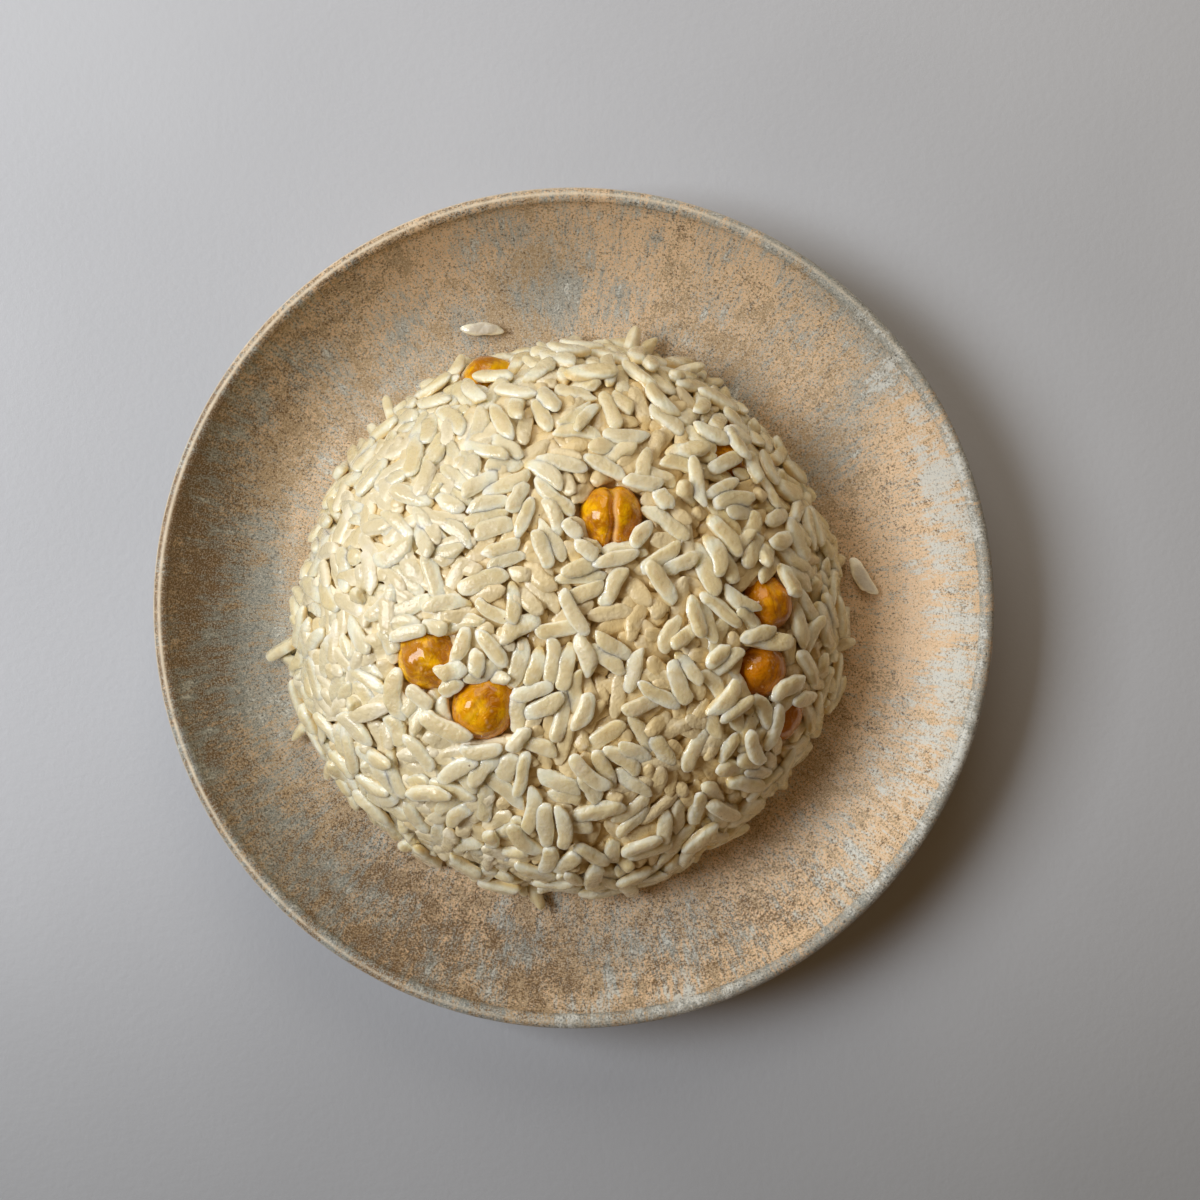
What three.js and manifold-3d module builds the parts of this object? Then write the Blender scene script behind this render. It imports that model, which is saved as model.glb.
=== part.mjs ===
// A stoneware plate with a moulded heap of rice pilaf, chickpeas in it and two grains lying loose.
// Millimetres, +Z up. The origin is the middle of the plate's underside, on the surface it stands on.
import * as THREE from "three";
import { mergeVertices } from "three/addons/utils/BufferGeometryUtils.js";
import Module from "manifold-3d";

const wasm = await Module();
wasm.setup();

// ---------------------------------------------------------------- driving dimensions

// Plate: a round coupe plate, flat in the middle, its wall rising in one curve to a rounded lip.
const PLATE_RADIUS = 95;
const PLATE_HEIGHT = 23;
const PLATE_SEGMENTS = 60;
const LIP_THICKNESS = 3.4;
const BASE_THICKNESS = 4.4;
const FLOOR_TOP = 7; // the eating surface above the table
const FLOOR_RADIUS = 67; // where the wall begins to rise
const WALL_POWER = 2.3; // how late the wall steepens
const FOOT_HEIGHT = 2.5;
const FOOT_OUTER_RADIUS = 55;
const FOOT_INNER_RADIUS = 50;

// Heap of rice: turned out of a bowl, so it is a rounded dome with steep sides.
const HEAP_X = -1.9;
const HEAP_Y = -2.9;
const HEAP_BASE = FLOOR_TOP + 0.3; // its underside, just clear of the plate
const HEAP_RADIUS = 62.5;
const HEAP_HEIGHT = 40;
const HEAP_POWER = 2.3; // 2 is an ellipse, more is squarer at the shoulder
const HEAP_LOBES = [
  { waves: 2, share: 0.008, peak: 50 },
  { waves: 3, share: 0.01, peak: 90 },
  { waves: 5, share: 0.006, peak: 135 },
];
const CORE_DEPTH = 1.7; // how far the bare core lies under the tops of the grains
const CORE_SEGMENTS = 24;
const CORE_RINGS = 7;

// Cooked grains of rice.
const GRAIN_LENGTH = 10.4;
const GRAIN_WIDTH = 3.5;
const GRAIN_THICKNESS = 3;
const GRAIN_LENGTH_SPREAD = 0.16; // share by which a grain may be longer or shorter
const GRAIN_COUNT = 248;
const GRAIN_TRIES = 14; // directions tried for each grain
const GRAIN_SIDES = 5;
const GRAIN_DEPTH = 1.4; // how far a grain's axis lies under the tops of the grains
const GRAIN_PITCH = 14; // degrees by which its ends may rise and fall
const BEND = 0.07; // how far a grain's middle bows, as a share of its length

// Chickpeas.
const CHICKPEA_RADIUS = 6.6;
const GAP = 0.3; // clearance between pieces that touch

// Chickpeas by where they sit: heading round the heap in degrees, distance from its axis,
// rise of the top over the grains, and size as a share of the usual one. The split one has a deep cleft.
const CHICKPEAS = [
  { name: "chickpea_north_edge", heading: 108, distance: 61.2, rise: 2.6, size: 0.95, spin: 20 },
  { name: "chickpea_split", heading: 66, distance: 25.8, rise: 0.9, size: 1.05, spin: 270, split: true },
  { name: "chickpea_east_upper", heading: 4.5, distance: 47.5, rise: 0.6, size: 0.88, spin: 100 },
  { name: "chickpea_east_lower", heading: 346.5, distance: 46.8, rise: 0.6, size: 0.88, spin: 250 },
  { name: "chickpea_east_edge", heading: 336.25, distance: 56.3, rise: 0.2, size: 0.9, spin: 310 },
  { name: "chickpea_west_upper", heading: 195.25, distance: 31.7, rise: 0.8, size: 1.02, spin: 130 },
  { name: "chickpea_west_lower", heading: 227, distance: 26.4, rise: 1.2, size: 1.06, spin: 60 },
  { name: "chickpea_north_east", heading: 46.5, distance: 55.3, rise: -0.4, size: 0.9, spin: 170 },
];

// Grains that stick out of the heap's foot, and the two that lie apart on the plate.
// Heading is the way the grain points, pitch how far its outer end rises.
const EDGE_GRAINS = [
  { x: -66.2, y: -9, heading: 207, pitch: -6, rise: 1.6, length: 12 },
  { x: -62.6, y: -27.2, heading: 229, pitch: -8, rise: 0.6, length: 10 },
  { x: -56.2, y: -35.2, heading: 250, pitch: -4, rise: 0.5, length: 10.4 },
  { x: -42.6, y: 44.8, heading: 105, pitch: 4, rise: 3, length: 9 },
  { x: 9.6, y: 58.6, heading: 128, pitch: 5, rise: 2.4, length: 9.4 },
  { x: 12.6, y: 60, heading: 66, pitch: 9, rise: 3.2, length: 10.6 },
  { x: 15.6, y: 58.4, heading: 52, pitch: 3, rise: 1.8, length: 11.2 },
  { x: 43.2, y: 39.6, heading: -26, pitch: -3, rise: 2, length: 8 },
  { x: 59.8, y: 1.8, heading: 76, pitch: 0, rise: 1, length: 8.6 },
  { x: -9.6, y: -65.2, heading: 290, pitch: -6, rise: 0.6, length: 10.2 },
];
const LOOSE_GRAINS = [
  { name: "loose_grain_north", x: -21.6, y: 64.2, heading: -3, length: 10.5 },
  { name: "loose_grain_east", x: 67, y: 7.3, heading: -65, length: 9.6 },
];

// ---------------------------------------------------------------- materials

const stoneware = new THREE.MeshStandardMaterial({ color: 0xa89172, roughness: 0.45, metalness: 0 });
const rice = new THREE.MeshStandardMaterial({ color: 0xe4d8b8, roughness: 0.4, metalness: 0 });
const chickpea = new THREE.MeshStandardMaterial({ color: 0xcf8412, roughness: 0.35, metalness: 0 });

// ---------------------------------------------------------------- helpers

const radians = THREE.MathUtils.degToRad;

// Repeatable random numbers from 0 to 1.
function randomFrom(seed) {
  let state = seed;
  return () => {
    state = (state + 0x6d2b79f5) | 0;
    let t = Math.imul(state ^ (state >>> 15), 1 | state);
    t = (t + Math.imul(t ^ (t >>> 7), 61 | t)) ^ t;
    return ((t ^ (t >>> 14)) >>> 0) / 4294967296;
  };
}

// A closed three.js geometry as a solid that can be joined and cut.
function solidFrom(geometry) {
  const bare = new THREE.BufferGeometry().setAttribute("position", geometry.getAttribute("position"));
  if (geometry.index) bare.setIndex(geometry.index);
  const merged = mergeVertices(bare, 1e-4);
  return new wasm.Manifold(
    new wasm.Mesh({
      numProp: 3,
      vertProperties: merged.attributes.position.array,
      triVerts: new Uint32Array(merged.index.array),
    }),
  );
}

// A named mesh from such a solid.
function meshFrom(name, solid, material) {
  const { vertProperties, triVerts } = solid.getMesh();
  const geometry = new THREE.BufferGeometry();
  geometry.setAttribute("position", new THREE.BufferAttribute(new Float32Array(vertProperties), 3));
  geometry.setIndex(new THREE.BufferAttribute(new Uint32Array(triVerts), 1));
  geometry.computeVertexNormals();
  const mesh = new THREE.Mesh(geometry, material);
  mesh.name = name;
  return mesh;
}

// The biggest body of a solid: drops loose scraps and fills sealed hollows.
function largestBody(solid) {
  return solid.decompose().reduce((best, body) => (body.volume() > best.volume() ? body : best));
}

// ---------------------------------------------------------------- plate

// Height of the eating surface at a distance from the plate's axis.
function plateTop(distance) {
  const wall = PLATE_RADIUS - LIP_THICKNESS - FLOOR_RADIUS;
  const along = Math.max(0, (distance - FLOOR_RADIUS) / wall);
  return FLOOR_TOP + (PLATE_HEIGHT - LIP_THICKNESS / 2 - FLOOR_TOP) * along ** WALL_POWER;
}

function makePlate() {
  const lipCentre = PLATE_RADIUS - LIP_THICKNESS / 2;
  const lipBase = PLATE_HEIGHT - LIP_THICKNESS / 2;
  const wallWidth = PLATE_RADIUS - LIP_THICKNESS - FLOOR_RADIUS;
  const inner = [0, 0.35, 0.6, 0.8, 1].map((share) => FLOOR_RADIUS + share * wallWidth);
  const profile = [
    new THREE.Vector2(0, FLOOR_TOP),
    ...inner.map((r) => new THREE.Vector2(r, plateTop(r))),
  ];
  // The rounded lip: half a circle from the wall's inner edge over to its outer edge.
  for (const degrees of [135, 90, 45, 0])
    profile.push(
      new THREE.Vector2(
        lipCentre + (LIP_THICKNESS / 2) * Math.cos(radians(degrees)),
        lipBase + (LIP_THICKNESS / 2) * Math.sin(radians(degrees)),
      ),
    );
  // The outside follows the inside down to the foot ring.
  const underside = FLOOR_TOP - BASE_THICKNESS;
  for (const share of [0.72, 0.42])
    profile.push(
      new THREE.Vector2(
        FLOOR_RADIUS + share * (PLATE_RADIUS - FLOOR_RADIUS),
        underside + (lipBase - underside) * share ** WALL_POWER,
      ),
    );
  profile.push(
    new THREE.Vector2(FOOT_OUTER_RADIUS + 1.5, underside),
    new THREE.Vector2(FOOT_OUTER_RADIUS, 0),
    new THREE.Vector2(FOOT_INNER_RADIUS, 0),
    new THREE.Vector2(FOOT_INNER_RADIUS - 1.5, FOOT_HEIGHT),
    new THREE.Vector2(0, FOOT_HEIGHT),
  );
  // A lathe turns about Y: reversed, and stood up, its faces point out.
  const geometry = new THREE.LatheGeometry(profile.reverse(), PLATE_SEGMENTS).rotateX(Math.PI / 2);
  return meshFrom("plate", solidFrom(geometry), stoneware);
}

// ---------------------------------------------------------------- heap's form

// Share by which the heap's outline swells at a heading, in radians.
function outlineSwell(heading) {
  return HEAP_LOBES.reduce(
    (sum, lobe) => sum + lobe.share * Math.cos(lobe.waves * (heading - radians(lobe.peak))),
    1,
  );
}

// A point on the dome, sunk by a depth. Slope runs from 0 at the top to 90 degrees at the foot.
function domePoint(heading, slope, depth = 0) {
  const radius = (HEAP_RADIUS - depth) * outlineSwell(heading) * Math.sin(slope) ** (2 / HEAP_POWER);
  const height = (HEAP_HEIGHT - depth) * Math.max(0, Math.cos(slope)) ** (2 / HEAP_POWER);
  return new THREE.Vector3(
    HEAP_X + radius * Math.cos(heading),
    HEAP_Y + radius * Math.sin(heading),
    HEAP_BASE + height,
  );
}

// The dome's outward direction there.
function domeNormal(heading, slope) {
  const radial = Math.sin(slope) ** (2 - 2 / HEAP_POWER) / HEAP_RADIUS;
  const upward = Math.max(0, Math.cos(slope)) ** (2 - 2 / HEAP_POWER) / HEAP_HEIGHT;
  return new THREE.Vector3(
    radial * Math.cos(heading),
    radial * Math.sin(heading),
    upward,
  ).normalize();
}

// The slope at which the dome reaches a distance from its axis.
function slopeAt(distance) {
  return Math.asin(Math.min(1, (distance / HEAP_RADIUS) ** (HEAP_POWER / 2)));
}

// The bare dome, its rings closer together towards the steep foot, its flat sides touching the true round.
function makeCore() {
  const profile = [new THREE.Vector2(0, 0)];
  for (let ring = CORE_RINGS; ring >= 0; ring--) {
    const slope = (1 - (1 - ring / CORE_RINGS) ** 1.3) * (Math.PI / 2);
    profile.push(new THREE.Vector2(Math.sin(slope) ** (2 / HEAP_POWER), Math.cos(slope) ** (2 / HEAP_POWER)));
  }
  profile[profile.length - 1].x = 0;
  profile[1].y = 0;
  const geometry = new THREE.LatheGeometry(profile, CORE_SEGMENTS).rotateX(Math.PI / 2);
  const position = geometry.getAttribute("position");
  const spread = (HEAP_RADIUS - CORE_DEPTH) / Math.cos(Math.PI / CORE_SEGMENTS);
  for (let i = 0; i < position.count; i++) {
    const [x, y, z] = [position.getX(i), position.getY(i), position.getZ(i)];
    const radius = spread * outlineSwell(Math.atan2(y, x));
    position.setXYZ(
      i,
      HEAP_X + x * radius,
      HEAP_Y + y * radius,
      HEAP_BASE + z * (HEAP_HEIGHT - CORE_DEPTH),
    );
  }
  return solidFrom(geometry);
}

// ---------------------------------------------------------------- chickpeas

// A chickpea round the origin: not quite a ball, with a beak along +X and a cleft over the top.
function chickpeaGeometry({ size, split = false }) {
  const geometry = new THREE.IcosahedronGeometry(1, split ? 3 : 2);
  const position = geometry.getAttribute("position");
  const cleft = split ? 0.2 : 0.06;
  const cleftWidth = split ? 0.17 : 0.25;
  for (let i = 0; i < position.count; i++) {
    const way = new THREE.Vector3().fromBufferAttribute(position, i).normalize();
    const beak = 0.16 * Math.exp(-((1 - way.x) ** 2) / 0.05);
    const facing = Math.max(0, way.z + 0.2 + 0.5 * way.x);
    const groove = cleft * Math.exp(-((way.y / cleftWidth) ** 2)) * Math.min(1, facing);
    const radius = CHICKPEA_RADIUS * size * (1 + beak - groove);
    position.setXYZ(i, way.x * radius, way.y * radius * 1.02, way.z * radius * 0.96);
  }
  return geometry;
}

// Where a chickpea's middle is, and how it is turned.
function chickpeaPlace({ heading, distance, rise, size, spin }) {
  const around = radians(heading);
  const slope = slopeAt(distance);
  const normal = domeNormal(around, slope);
  const sunk = rise - CHICKPEA_RADIUS * size;
  const centre = domePoint(around, slope).addScaledVector(normal, sunk);
  const tilt = new THREE.Quaternion().setFromUnitVectors(new THREE.Vector3(0, 0, 1), normal);
  const turn = new THREE.Quaternion().setFromAxisAngle(new THREE.Vector3(0, 0, 1), radians(spin));
  return { centre, turned: tilt.multiply(turn) };
}

function chickpeaSolid(pea, clearance = 0) {
  const { centre, turned } = chickpeaPlace(pea);
  const grow = 1 + clearance / (CHICKPEA_RADIUS * pea.size);
  const matrix = new THREE.Matrix4().compose(centre, turned, new THREE.Vector3(grow, grow, grow));
  return solidFrom(chickpeaGeometry(pea).applyMatrix4(matrix));
}

// ---------------------------------------------------------------- grains

// A grain along +X, its flat side down: tapering rings between two blunt points, slightly bowed.
function grainGeometry(length, sides, rings) {
  const profile = [];
  for (let ring = 0; ring <= rings + 1; ring++) {
    const along = -Math.cos((ring / (rings + 1)) * Math.PI);
    const radius = ring === 0 || ring === rings + 1 ? 0 : Math.sqrt(1 - Math.abs(along) ** 2.4);
    profile.push(new THREE.Vector2(radius, along));
  }
  const geometry = new THREE.LatheGeometry(profile, sides).rotateZ(-Math.PI / 2);
  geometry.scale(length / 2, GRAIN_WIDTH / 2, GRAIN_THICKNESS / 2);
  const position = geometry.getAttribute("position");
  for (let i = 0; i < position.count; i++) {
    const along = position.getX(i) / (length / 2);
    position.setY(i, position.getY(i) + BEND * length * (1 - along ** 2));
  }
  return geometry;
}

// Puts a grain's middle at a point, its length along one way and its back to another.
function placedGrain(grain) {
  const { centre, along, up, length, sides = GRAIN_SIDES, rings = 2 } = grain;
  const side = new THREE.Vector3().crossVectors(up, along).normalize();
  const back = new THREE.Vector3().crossVectors(along, side);
  const matrix = new THREE.Matrix4().makeBasis(along, side, back).setPosition(centre);
  return grainGeometry(length, sides, rings).applyMatrix4(matrix);
}

// A grain resting near the plate is lifted clear of it.
function liftOffPlate(geometry, clearance) {
  const position = geometry.getAttribute("position");
  let lift = 0;
  for (let i = 0; i < position.count; i++) {
    const floor = plateTop(Math.hypot(position.getX(i), position.getY(i))) + clearance;
    lift = Math.max(lift, floor - position.getZ(i));
  }
  return geometry.translate(0, 0, lift);
}

// Distance between two straight stretches, each given by its middle, way and half length.
function stretchGap(a, b) {
  let nearest = Infinity;
  for (const share of [-1, -0.5, 0, 0.5, 1]) {
    const point = a.centre.clone().addScaledVector(a.along, share * a.reach);
    const offset = point.clone().sub(b.centre);
    const along = THREE.MathUtils.clamp(offset.dot(b.along), -b.reach, b.reach);
    nearest = Math.min(nearest, point.distanceTo(b.centre.clone().addScaledVector(b.along, along)));
  }
  return nearest;
}

// Room left between a grain and the chickpeas.
function chickpeaRoom(grain, peas) {
  return Math.min(
    ...peas.map((pea) => {
      const point = { centre: pea.centre, along: grain.along, reach: 0 };
      return stretchGap(point, grain) - pea.radius - GAP - GRAIN_WIDTH / 2;
    }),
  );
}

// Grains spread evenly over the dome along a spiral, each in the freest of several directions.
function coverGrains(peas) {
  const random = randomFrom(7);
  const placed = [];
  const bands = meridianShares();
  for (let k = 0; k < GRAIN_COUNT; k++) {
    const slope = bands((k + 0.5) / GRAIN_COUNT);
    const heading = k * Math.PI * (3 - Math.sqrt(5));
    const normal = domeNormal(heading, slope);
    const across = new THREE.Vector3(-Math.sin(heading), Math.cos(heading), 0);
    const length = GRAIN_LENGTH * (1 + GRAIN_LENGTH_SPREAD * (2 * random() - 1));
    const centre = domePoint(heading, slope, GRAIN_DEPTH);
    let best = null;
    for (let attempt = 0; attempt < GRAIN_TRIES; attempt++) {
      const turn = random() * Math.PI;
      const pitch = radians(GRAIN_PITCH * (2 * random() - 1));
      const flat = across.clone().applyAxisAngle(normal, turn);
      const hinge = new THREE.Vector3().crossVectors(normal, flat);
      const along = flat.applyAxisAngle(hinge, pitch).normalize();
      const grain = { centre, along, up: normal, length, reach: length / 2 - GRAIN_WIDTH / 2 };
      if (chickpeaRoom(grain, peas) < 0) continue;
      const near = placed.filter((other) => other.centre.distanceTo(centre) < 1.2 * GRAIN_LENGTH);
      const room = Math.min(99, ...near.map((other) => stretchGap(grain, other)));
      if (!best || room > best.room) best = { ...grain, room };
    }
    if (best) placed.push(best);
  }
  return placed;
}

// Turns a share of the dome's area, counted from the top, into a slope.
function meridianShares() {
  const steps = 200;
  const areas = [0];
  for (let i = 1; i <= steps; i++) {
    const a = domePoint(0, ((i - 1) / steps) * (Math.PI / 2));
    const b = domePoint(0, (i / steps) * (Math.PI / 2));
    areas.push(areas[i - 1] + ((a.x + b.x) / 2 - HEAP_X) * a.distanceTo(b));
  }
  return (share) => {
    const i = areas.findIndex((area) => area >= share * areas[steps]);
    return (i / steps) * (Math.PI / 2);
  };
}

// A grain given by its place on the plate, the way it points and how far it rises from the plate.
function grainOnPlate({ x, y, heading, pitch = 0, rise = 0, length }, sides, rings) {
  const along = new THREE.Vector3(
    Math.cos(radians(heading)) * Math.cos(radians(pitch)),
    Math.sin(radians(heading)) * Math.cos(radians(pitch)),
    Math.sin(radians(pitch)),
  );
  const up = new THREE.Vector3(0, 0, 1);
  const centre = new THREE.Vector3(x, y, FLOOR_TOP + rise + GRAIN_THICKNESS / 2);
  return liftOffPlate(placedGrain({ centre, along, up, length, sides, rings }), GAP);
}

// ---------------------------------------------------------------- pieces

function makeHeap() {
  const peas = CHICKPEAS.map((pea) => ({
    centre: chickpeaPlace(pea).centre,
    radius: CHICKPEA_RADIUS * pea.size,
  }));
  const covering = coverGrains(peas).map((grain) => liftOffPlate(placedGrain(grain), GAP));
  const sticking = EDGE_GRAINS.map((grain) => grainOnPlate(grain, GRAIN_SIDES, 2));
  const grains = [...covering, ...sticking].map(solidFrom);
  const pockets = CHICKPEAS.map((pea) => chickpeaSolid(pea, GAP));
  const core = makeCore().subtract(wasm.Manifold.union(pockets));
  const joined = wasm.Manifold.union([core, ...grains]);
  return meshFrom("rice_heap", largestBody(joined).asOriginal().simplify(0.1), rice);
}

function makeChickpeas() {
  return CHICKPEAS.map((pea) => meshFrom(pea.name, chickpeaSolid(pea), chickpea));
}

function makeLooseGrains() {
  return LOOSE_GRAINS.map((grain) => meshFrom(grain.name, solidFrom(grainOnPlate(grain, 8, 5)), rice));
}

const dish = new THREE.Group();
dish.name = "rice_pilaf";
dish.add(makePlate(), makeHeap(), ...makeChickpeas(), ...makeLooseGrains());

export default dish;
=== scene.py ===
"""Dresses the plate of rice pilaf: a glazed stoneware plate, a heap of cooked grains, chickpeas and loose grains.

Sizes in the classes are millimetres, as a cook or a potter would give them. Meshes are made in metres.
"""
import sys
import logging
import math
from dataclasses import dataclass, field
from enum import Enum
from typing import Sequence

import bmesh
import bpy
import numpy as np
from bpy.types import Material, NodeSocket, Object, ShaderNode
from mathutils import Matrix, Quaternion, Vector


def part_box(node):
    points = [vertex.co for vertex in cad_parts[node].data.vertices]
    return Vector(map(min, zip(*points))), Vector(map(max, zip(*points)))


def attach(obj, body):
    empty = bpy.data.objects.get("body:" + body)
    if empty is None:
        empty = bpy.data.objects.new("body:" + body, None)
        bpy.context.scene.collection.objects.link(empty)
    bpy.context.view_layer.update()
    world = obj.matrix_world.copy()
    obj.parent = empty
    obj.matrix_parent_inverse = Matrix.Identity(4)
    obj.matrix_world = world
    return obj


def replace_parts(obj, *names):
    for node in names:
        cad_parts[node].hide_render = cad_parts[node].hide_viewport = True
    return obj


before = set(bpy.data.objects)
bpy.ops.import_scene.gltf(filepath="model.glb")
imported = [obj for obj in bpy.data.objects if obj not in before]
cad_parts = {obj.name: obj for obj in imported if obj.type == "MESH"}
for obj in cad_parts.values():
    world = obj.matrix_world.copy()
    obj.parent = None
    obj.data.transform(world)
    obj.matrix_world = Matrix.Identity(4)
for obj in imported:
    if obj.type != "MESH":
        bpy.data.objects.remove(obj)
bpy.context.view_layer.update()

MM = 0.001
BODY = "root"
TINY = 1e-9
Triple = tuple[float, float, float]
Drift = tuple[float, float, float, float, float, float]
log = logging.getLogger("pilaf")


# ---------------------------------------------------------------- forms shared by the pieces


@dataclass(frozen=True)
class PlateForm:
    """The coupe plate's section."""

    radius: float = 95.0
    height: float = 23.0
    lip: float = 3.4
    base: float = 4.4
    floor_top: float = 7.0
    floor_radius: float = 67.0
    wall_power: float = 2.3
    foot_height: float = 2.5
    foot_outer: float = 55.0
    foot_inner: float = 50.0

    def top(self, distance: np.ndarray) -> np.ndarray:
        """Height of the eating surface at distances from the plate's axis.

        Args:
            distance: the distances in millimetres.

        Returns:
            A height for each.
        """
        wall = self.radius - self.lip - self.floor_radius
        along = np.clip((np.asarray(distance) - self.floor_radius) / wall, 0, None)
        return self.floor_top + (self.height - self.lip / 2 - self.floor_top) * along**self.wall_power

    def profile(self) -> tuple[np.ndarray, np.ndarray]:
        """The section from the middle of the top, over the lip, to the middle of the underside.

        Returns:
            The points as (radius, height) rows, and for each the stretch it lies on: 0 top, 1 lip, 2 outside,
            3 foot ring, 4 inside the foot.
        """
        rows: list[tuple[float, float, int]] = []
        for r in np.concatenate([np.linspace(0, self.floor_radius, 30), np.linspace(68, self.radius - self.lip, 26)]):
            rows.append((float(r), float(self.top(r)), 0))
        centre, level = self.radius - self.lip / 2, self.height - self.lip / 2
        for degrees in np.linspace(165, -10, 30):
            a = math.radians(degrees)
            rows.append((centre + self.lip / 2 * math.cos(a), level + self.lip / 2 * math.sin(a), 1))
        underside = self.floor_top - self.base
        for share in np.linspace(0.93, 0.0, 20):
            r = self.floor_radius + share * (self.radius - self.floor_radius)
            rows.append((r, underside + (level - underside) * share**self.wall_power, 2))
        rows.append((self.foot_outer + 4.0, underside, 2))
        rows.append((self.foot_outer + 1.5, underside - 0.15, 2))
        for r, z in ((0.5, 1.4), (0.15, 0.5), (-0.35, 0.0)):
            rows.append((self.foot_outer + r, z, 3))
        for r, z in ((0.35, 0.0), (-0.15, 0.5), (-0.6, 1.5), (-1.5, self.foot_height)):
            rows.append((self.foot_inner + r, z, 3))
        for r in np.linspace(self.foot_inner - 4, 0, 10):
            rows.append((float(r), self.foot_height, 4))
        table = np.array(rows)
        return table[:, :2], table[:, 2].astype(int)


@dataclass(frozen=True)
class HeapForm:
    """The dome that the tops of the grains make."""

    x: float = -1.9
    y: float = -2.9
    base: float = 7.3
    radius: float = 62.5
    height: float = 40.0
    power: float = 2.3
    lobes: tuple[tuple[int, float, float], ...] = ((2, 0.008, 50.0), (3, 0.01, 90.0), (5, 0.006, 135.0))

    def swell(self, angle: np.ndarray) -> np.ndarray:
        """Share by which the outline swells at an angle in radians.

        Args:
            angle: the angles, from +X towards +Y.

        Returns:
            A share of about 1 for each.
        """
        total = np.ones_like(np.asarray(angle, dtype=float))
        for waves, share, peak in self.lobes:
            total = total + share * np.cos(waves * (angle - math.radians(peak)))
        return total

    def depth_and_normal(self, points: np.ndarray) -> tuple[np.ndarray, np.ndarray]:
        """How far points lie under the dome, and the way out of it there.

        Args:
            points: rows of x, y, z.

        Returns:
            The depths, above the dome as less than nothing, and unit vectors.
        """
        x, y = points[:, 0] - self.x, points[:, 1] - self.y
        z = np.maximum(points[:, 2] - self.base, 0.0)
        across = np.hypot(x, y) + TINY
        reach = self.radius * self.swell(np.arctan2(y, x))
        n = self.power
        share = np.maximum(((across / reach) ** n + (z / self.height) ** n) ** (1 / n), 1e-6)
        radial = (across / reach) ** (n - 1) / reach * share ** (1 - n)
        upward = (z / self.height) ** (n - 1) / self.height * share ** (1 - n)
        steep = np.hypot(radial, upward) + TINY
        out = np.stack([radial * x / across, radial * y / across, upward], 1) / steep[:, None]
        return (1 - share) / steep, out

    def point(self, heading: float, slope: float) -> np.ndarray:
        """A point on the dome; slope is 0 at the top and a right angle at the foot.

        Args:
            heading: the angle round the dome in radians.
            slope: the angle down from the top.

        Returns:
            Its x, y and z.
        """
        across = self.radius * float(self.swell(heading)) * math.sin(slope) ** (2 / self.power)
        up = self.height * max(0.0, math.cos(slope)) ** (2 / self.power)
        return np.array([self.x + across * math.cos(heading), self.y + across * math.sin(heading), self.base + up])

    def normal(self, heading: float, slope: float) -> np.ndarray:
        """The dome's outward direction there.

        Args:
            heading: the angle round the dome in radians.
            slope: the angle down from the top.

        Returns:
            A unit vector.
        """
        radial = math.sin(slope) ** (2 - 2 / self.power) / self.radius
        upward = max(0.0, math.cos(slope)) ** (2 - 2 / self.power) / self.height
        out = np.array([radial * math.cos(heading), radial * math.sin(heading), upward])
        return out / np.linalg.norm(out)

    def slope_at(self, distance: float) -> float:
        """The slope at which the dome reaches a distance from its axis."""
        return math.asin(min(1.0, (distance / self.radius) ** (self.power / 2)))

    def top(self, x: np.ndarray, y: np.ndarray) -> np.ndarray:
        """Height of the dome over points of the plate.

        Args:
            x: the points' places to the right.
            y: their places upwards in the photograph.

        Returns:
            A height for each.
        """
        x, y = np.asarray(x) - self.x, np.asarray(y) - self.y
        share = np.hypot(x, y) / (self.radius * self.swell(np.arctan2(y, x)))
        return self.base + self.height * np.clip(1 - share**self.power, 0, None) ** (1 / self.power)


PLATE = PlateForm()
HEAP = HeapForm()


# ---------------------------------------------------------------- mesh making


def mesh_piece(name: str, points: np.ndarray, faces: Sequence[Sequence[int]]) -> Object:
    """Makes an object from points in millimetres.

    Args:
        name: the object's name.
        points: rows of x, y, z.
        faces: for each face the points at its corners, counter-clockwise from outside.

    Returns:
        The object, smoothly shaded, linked to the scene and riding on the body.
    """
    mesh = bpy.data.meshes.new(name)
    mesh.from_pydata((points * MM).tolist(), [], faces if isinstance(faces, list) else faces.tolist())
    mesh.polygons.foreach_set("use_smooth", [True] * len(mesh.polygons))
    mesh.update()
    piece = bpy.data.objects.new(name, mesh)
    bpy.context.scene.collection.objects.link(piece)
    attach(piece, BODY)
    return piece


def closed_rings(rings: int, turns: int) -> list[tuple[int, ...]]:
    """Faces of a form of stacked rings that a point closes at either end, as a plate, a dome or a grain is.

    Args:
        rings: how many rings there are, one after another.
        turns: how many points each has; the two closing points follow them all.

    Returns:
        For each face the points at its corners.
    """
    faces: list[tuple[int, ...]] = []
    first, last = rings * turns, (rings - 1) * turns
    for i in range(turns):
        j = (i + 1) % turns
        faces += [(first, i, j), (first + 1, last + j, last + i)]
        for low in range(0, last, turns):
            faces.append((low + i, low + turns + i, low + turns + j, low + j))
    return faces


def add_field(piece: Object, name: str, values: np.ndarray) -> None:
    """Stores one number, or one vector, for each point of a piece, for its finish to read.

    Args:
        piece: the piece.
        name: what the finish calls it.
        values: a number or a vector for each point.
    """
    kind = "FLOAT" if values.ndim == 1 else "FLOAT_VECTOR"
    layer = piece.data.attributes.new(name, kind, "POINT")
    layer.data.foreach_set("value" if values.ndim == 1 else "vector", values.astype(np.float32).ravel())


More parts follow.
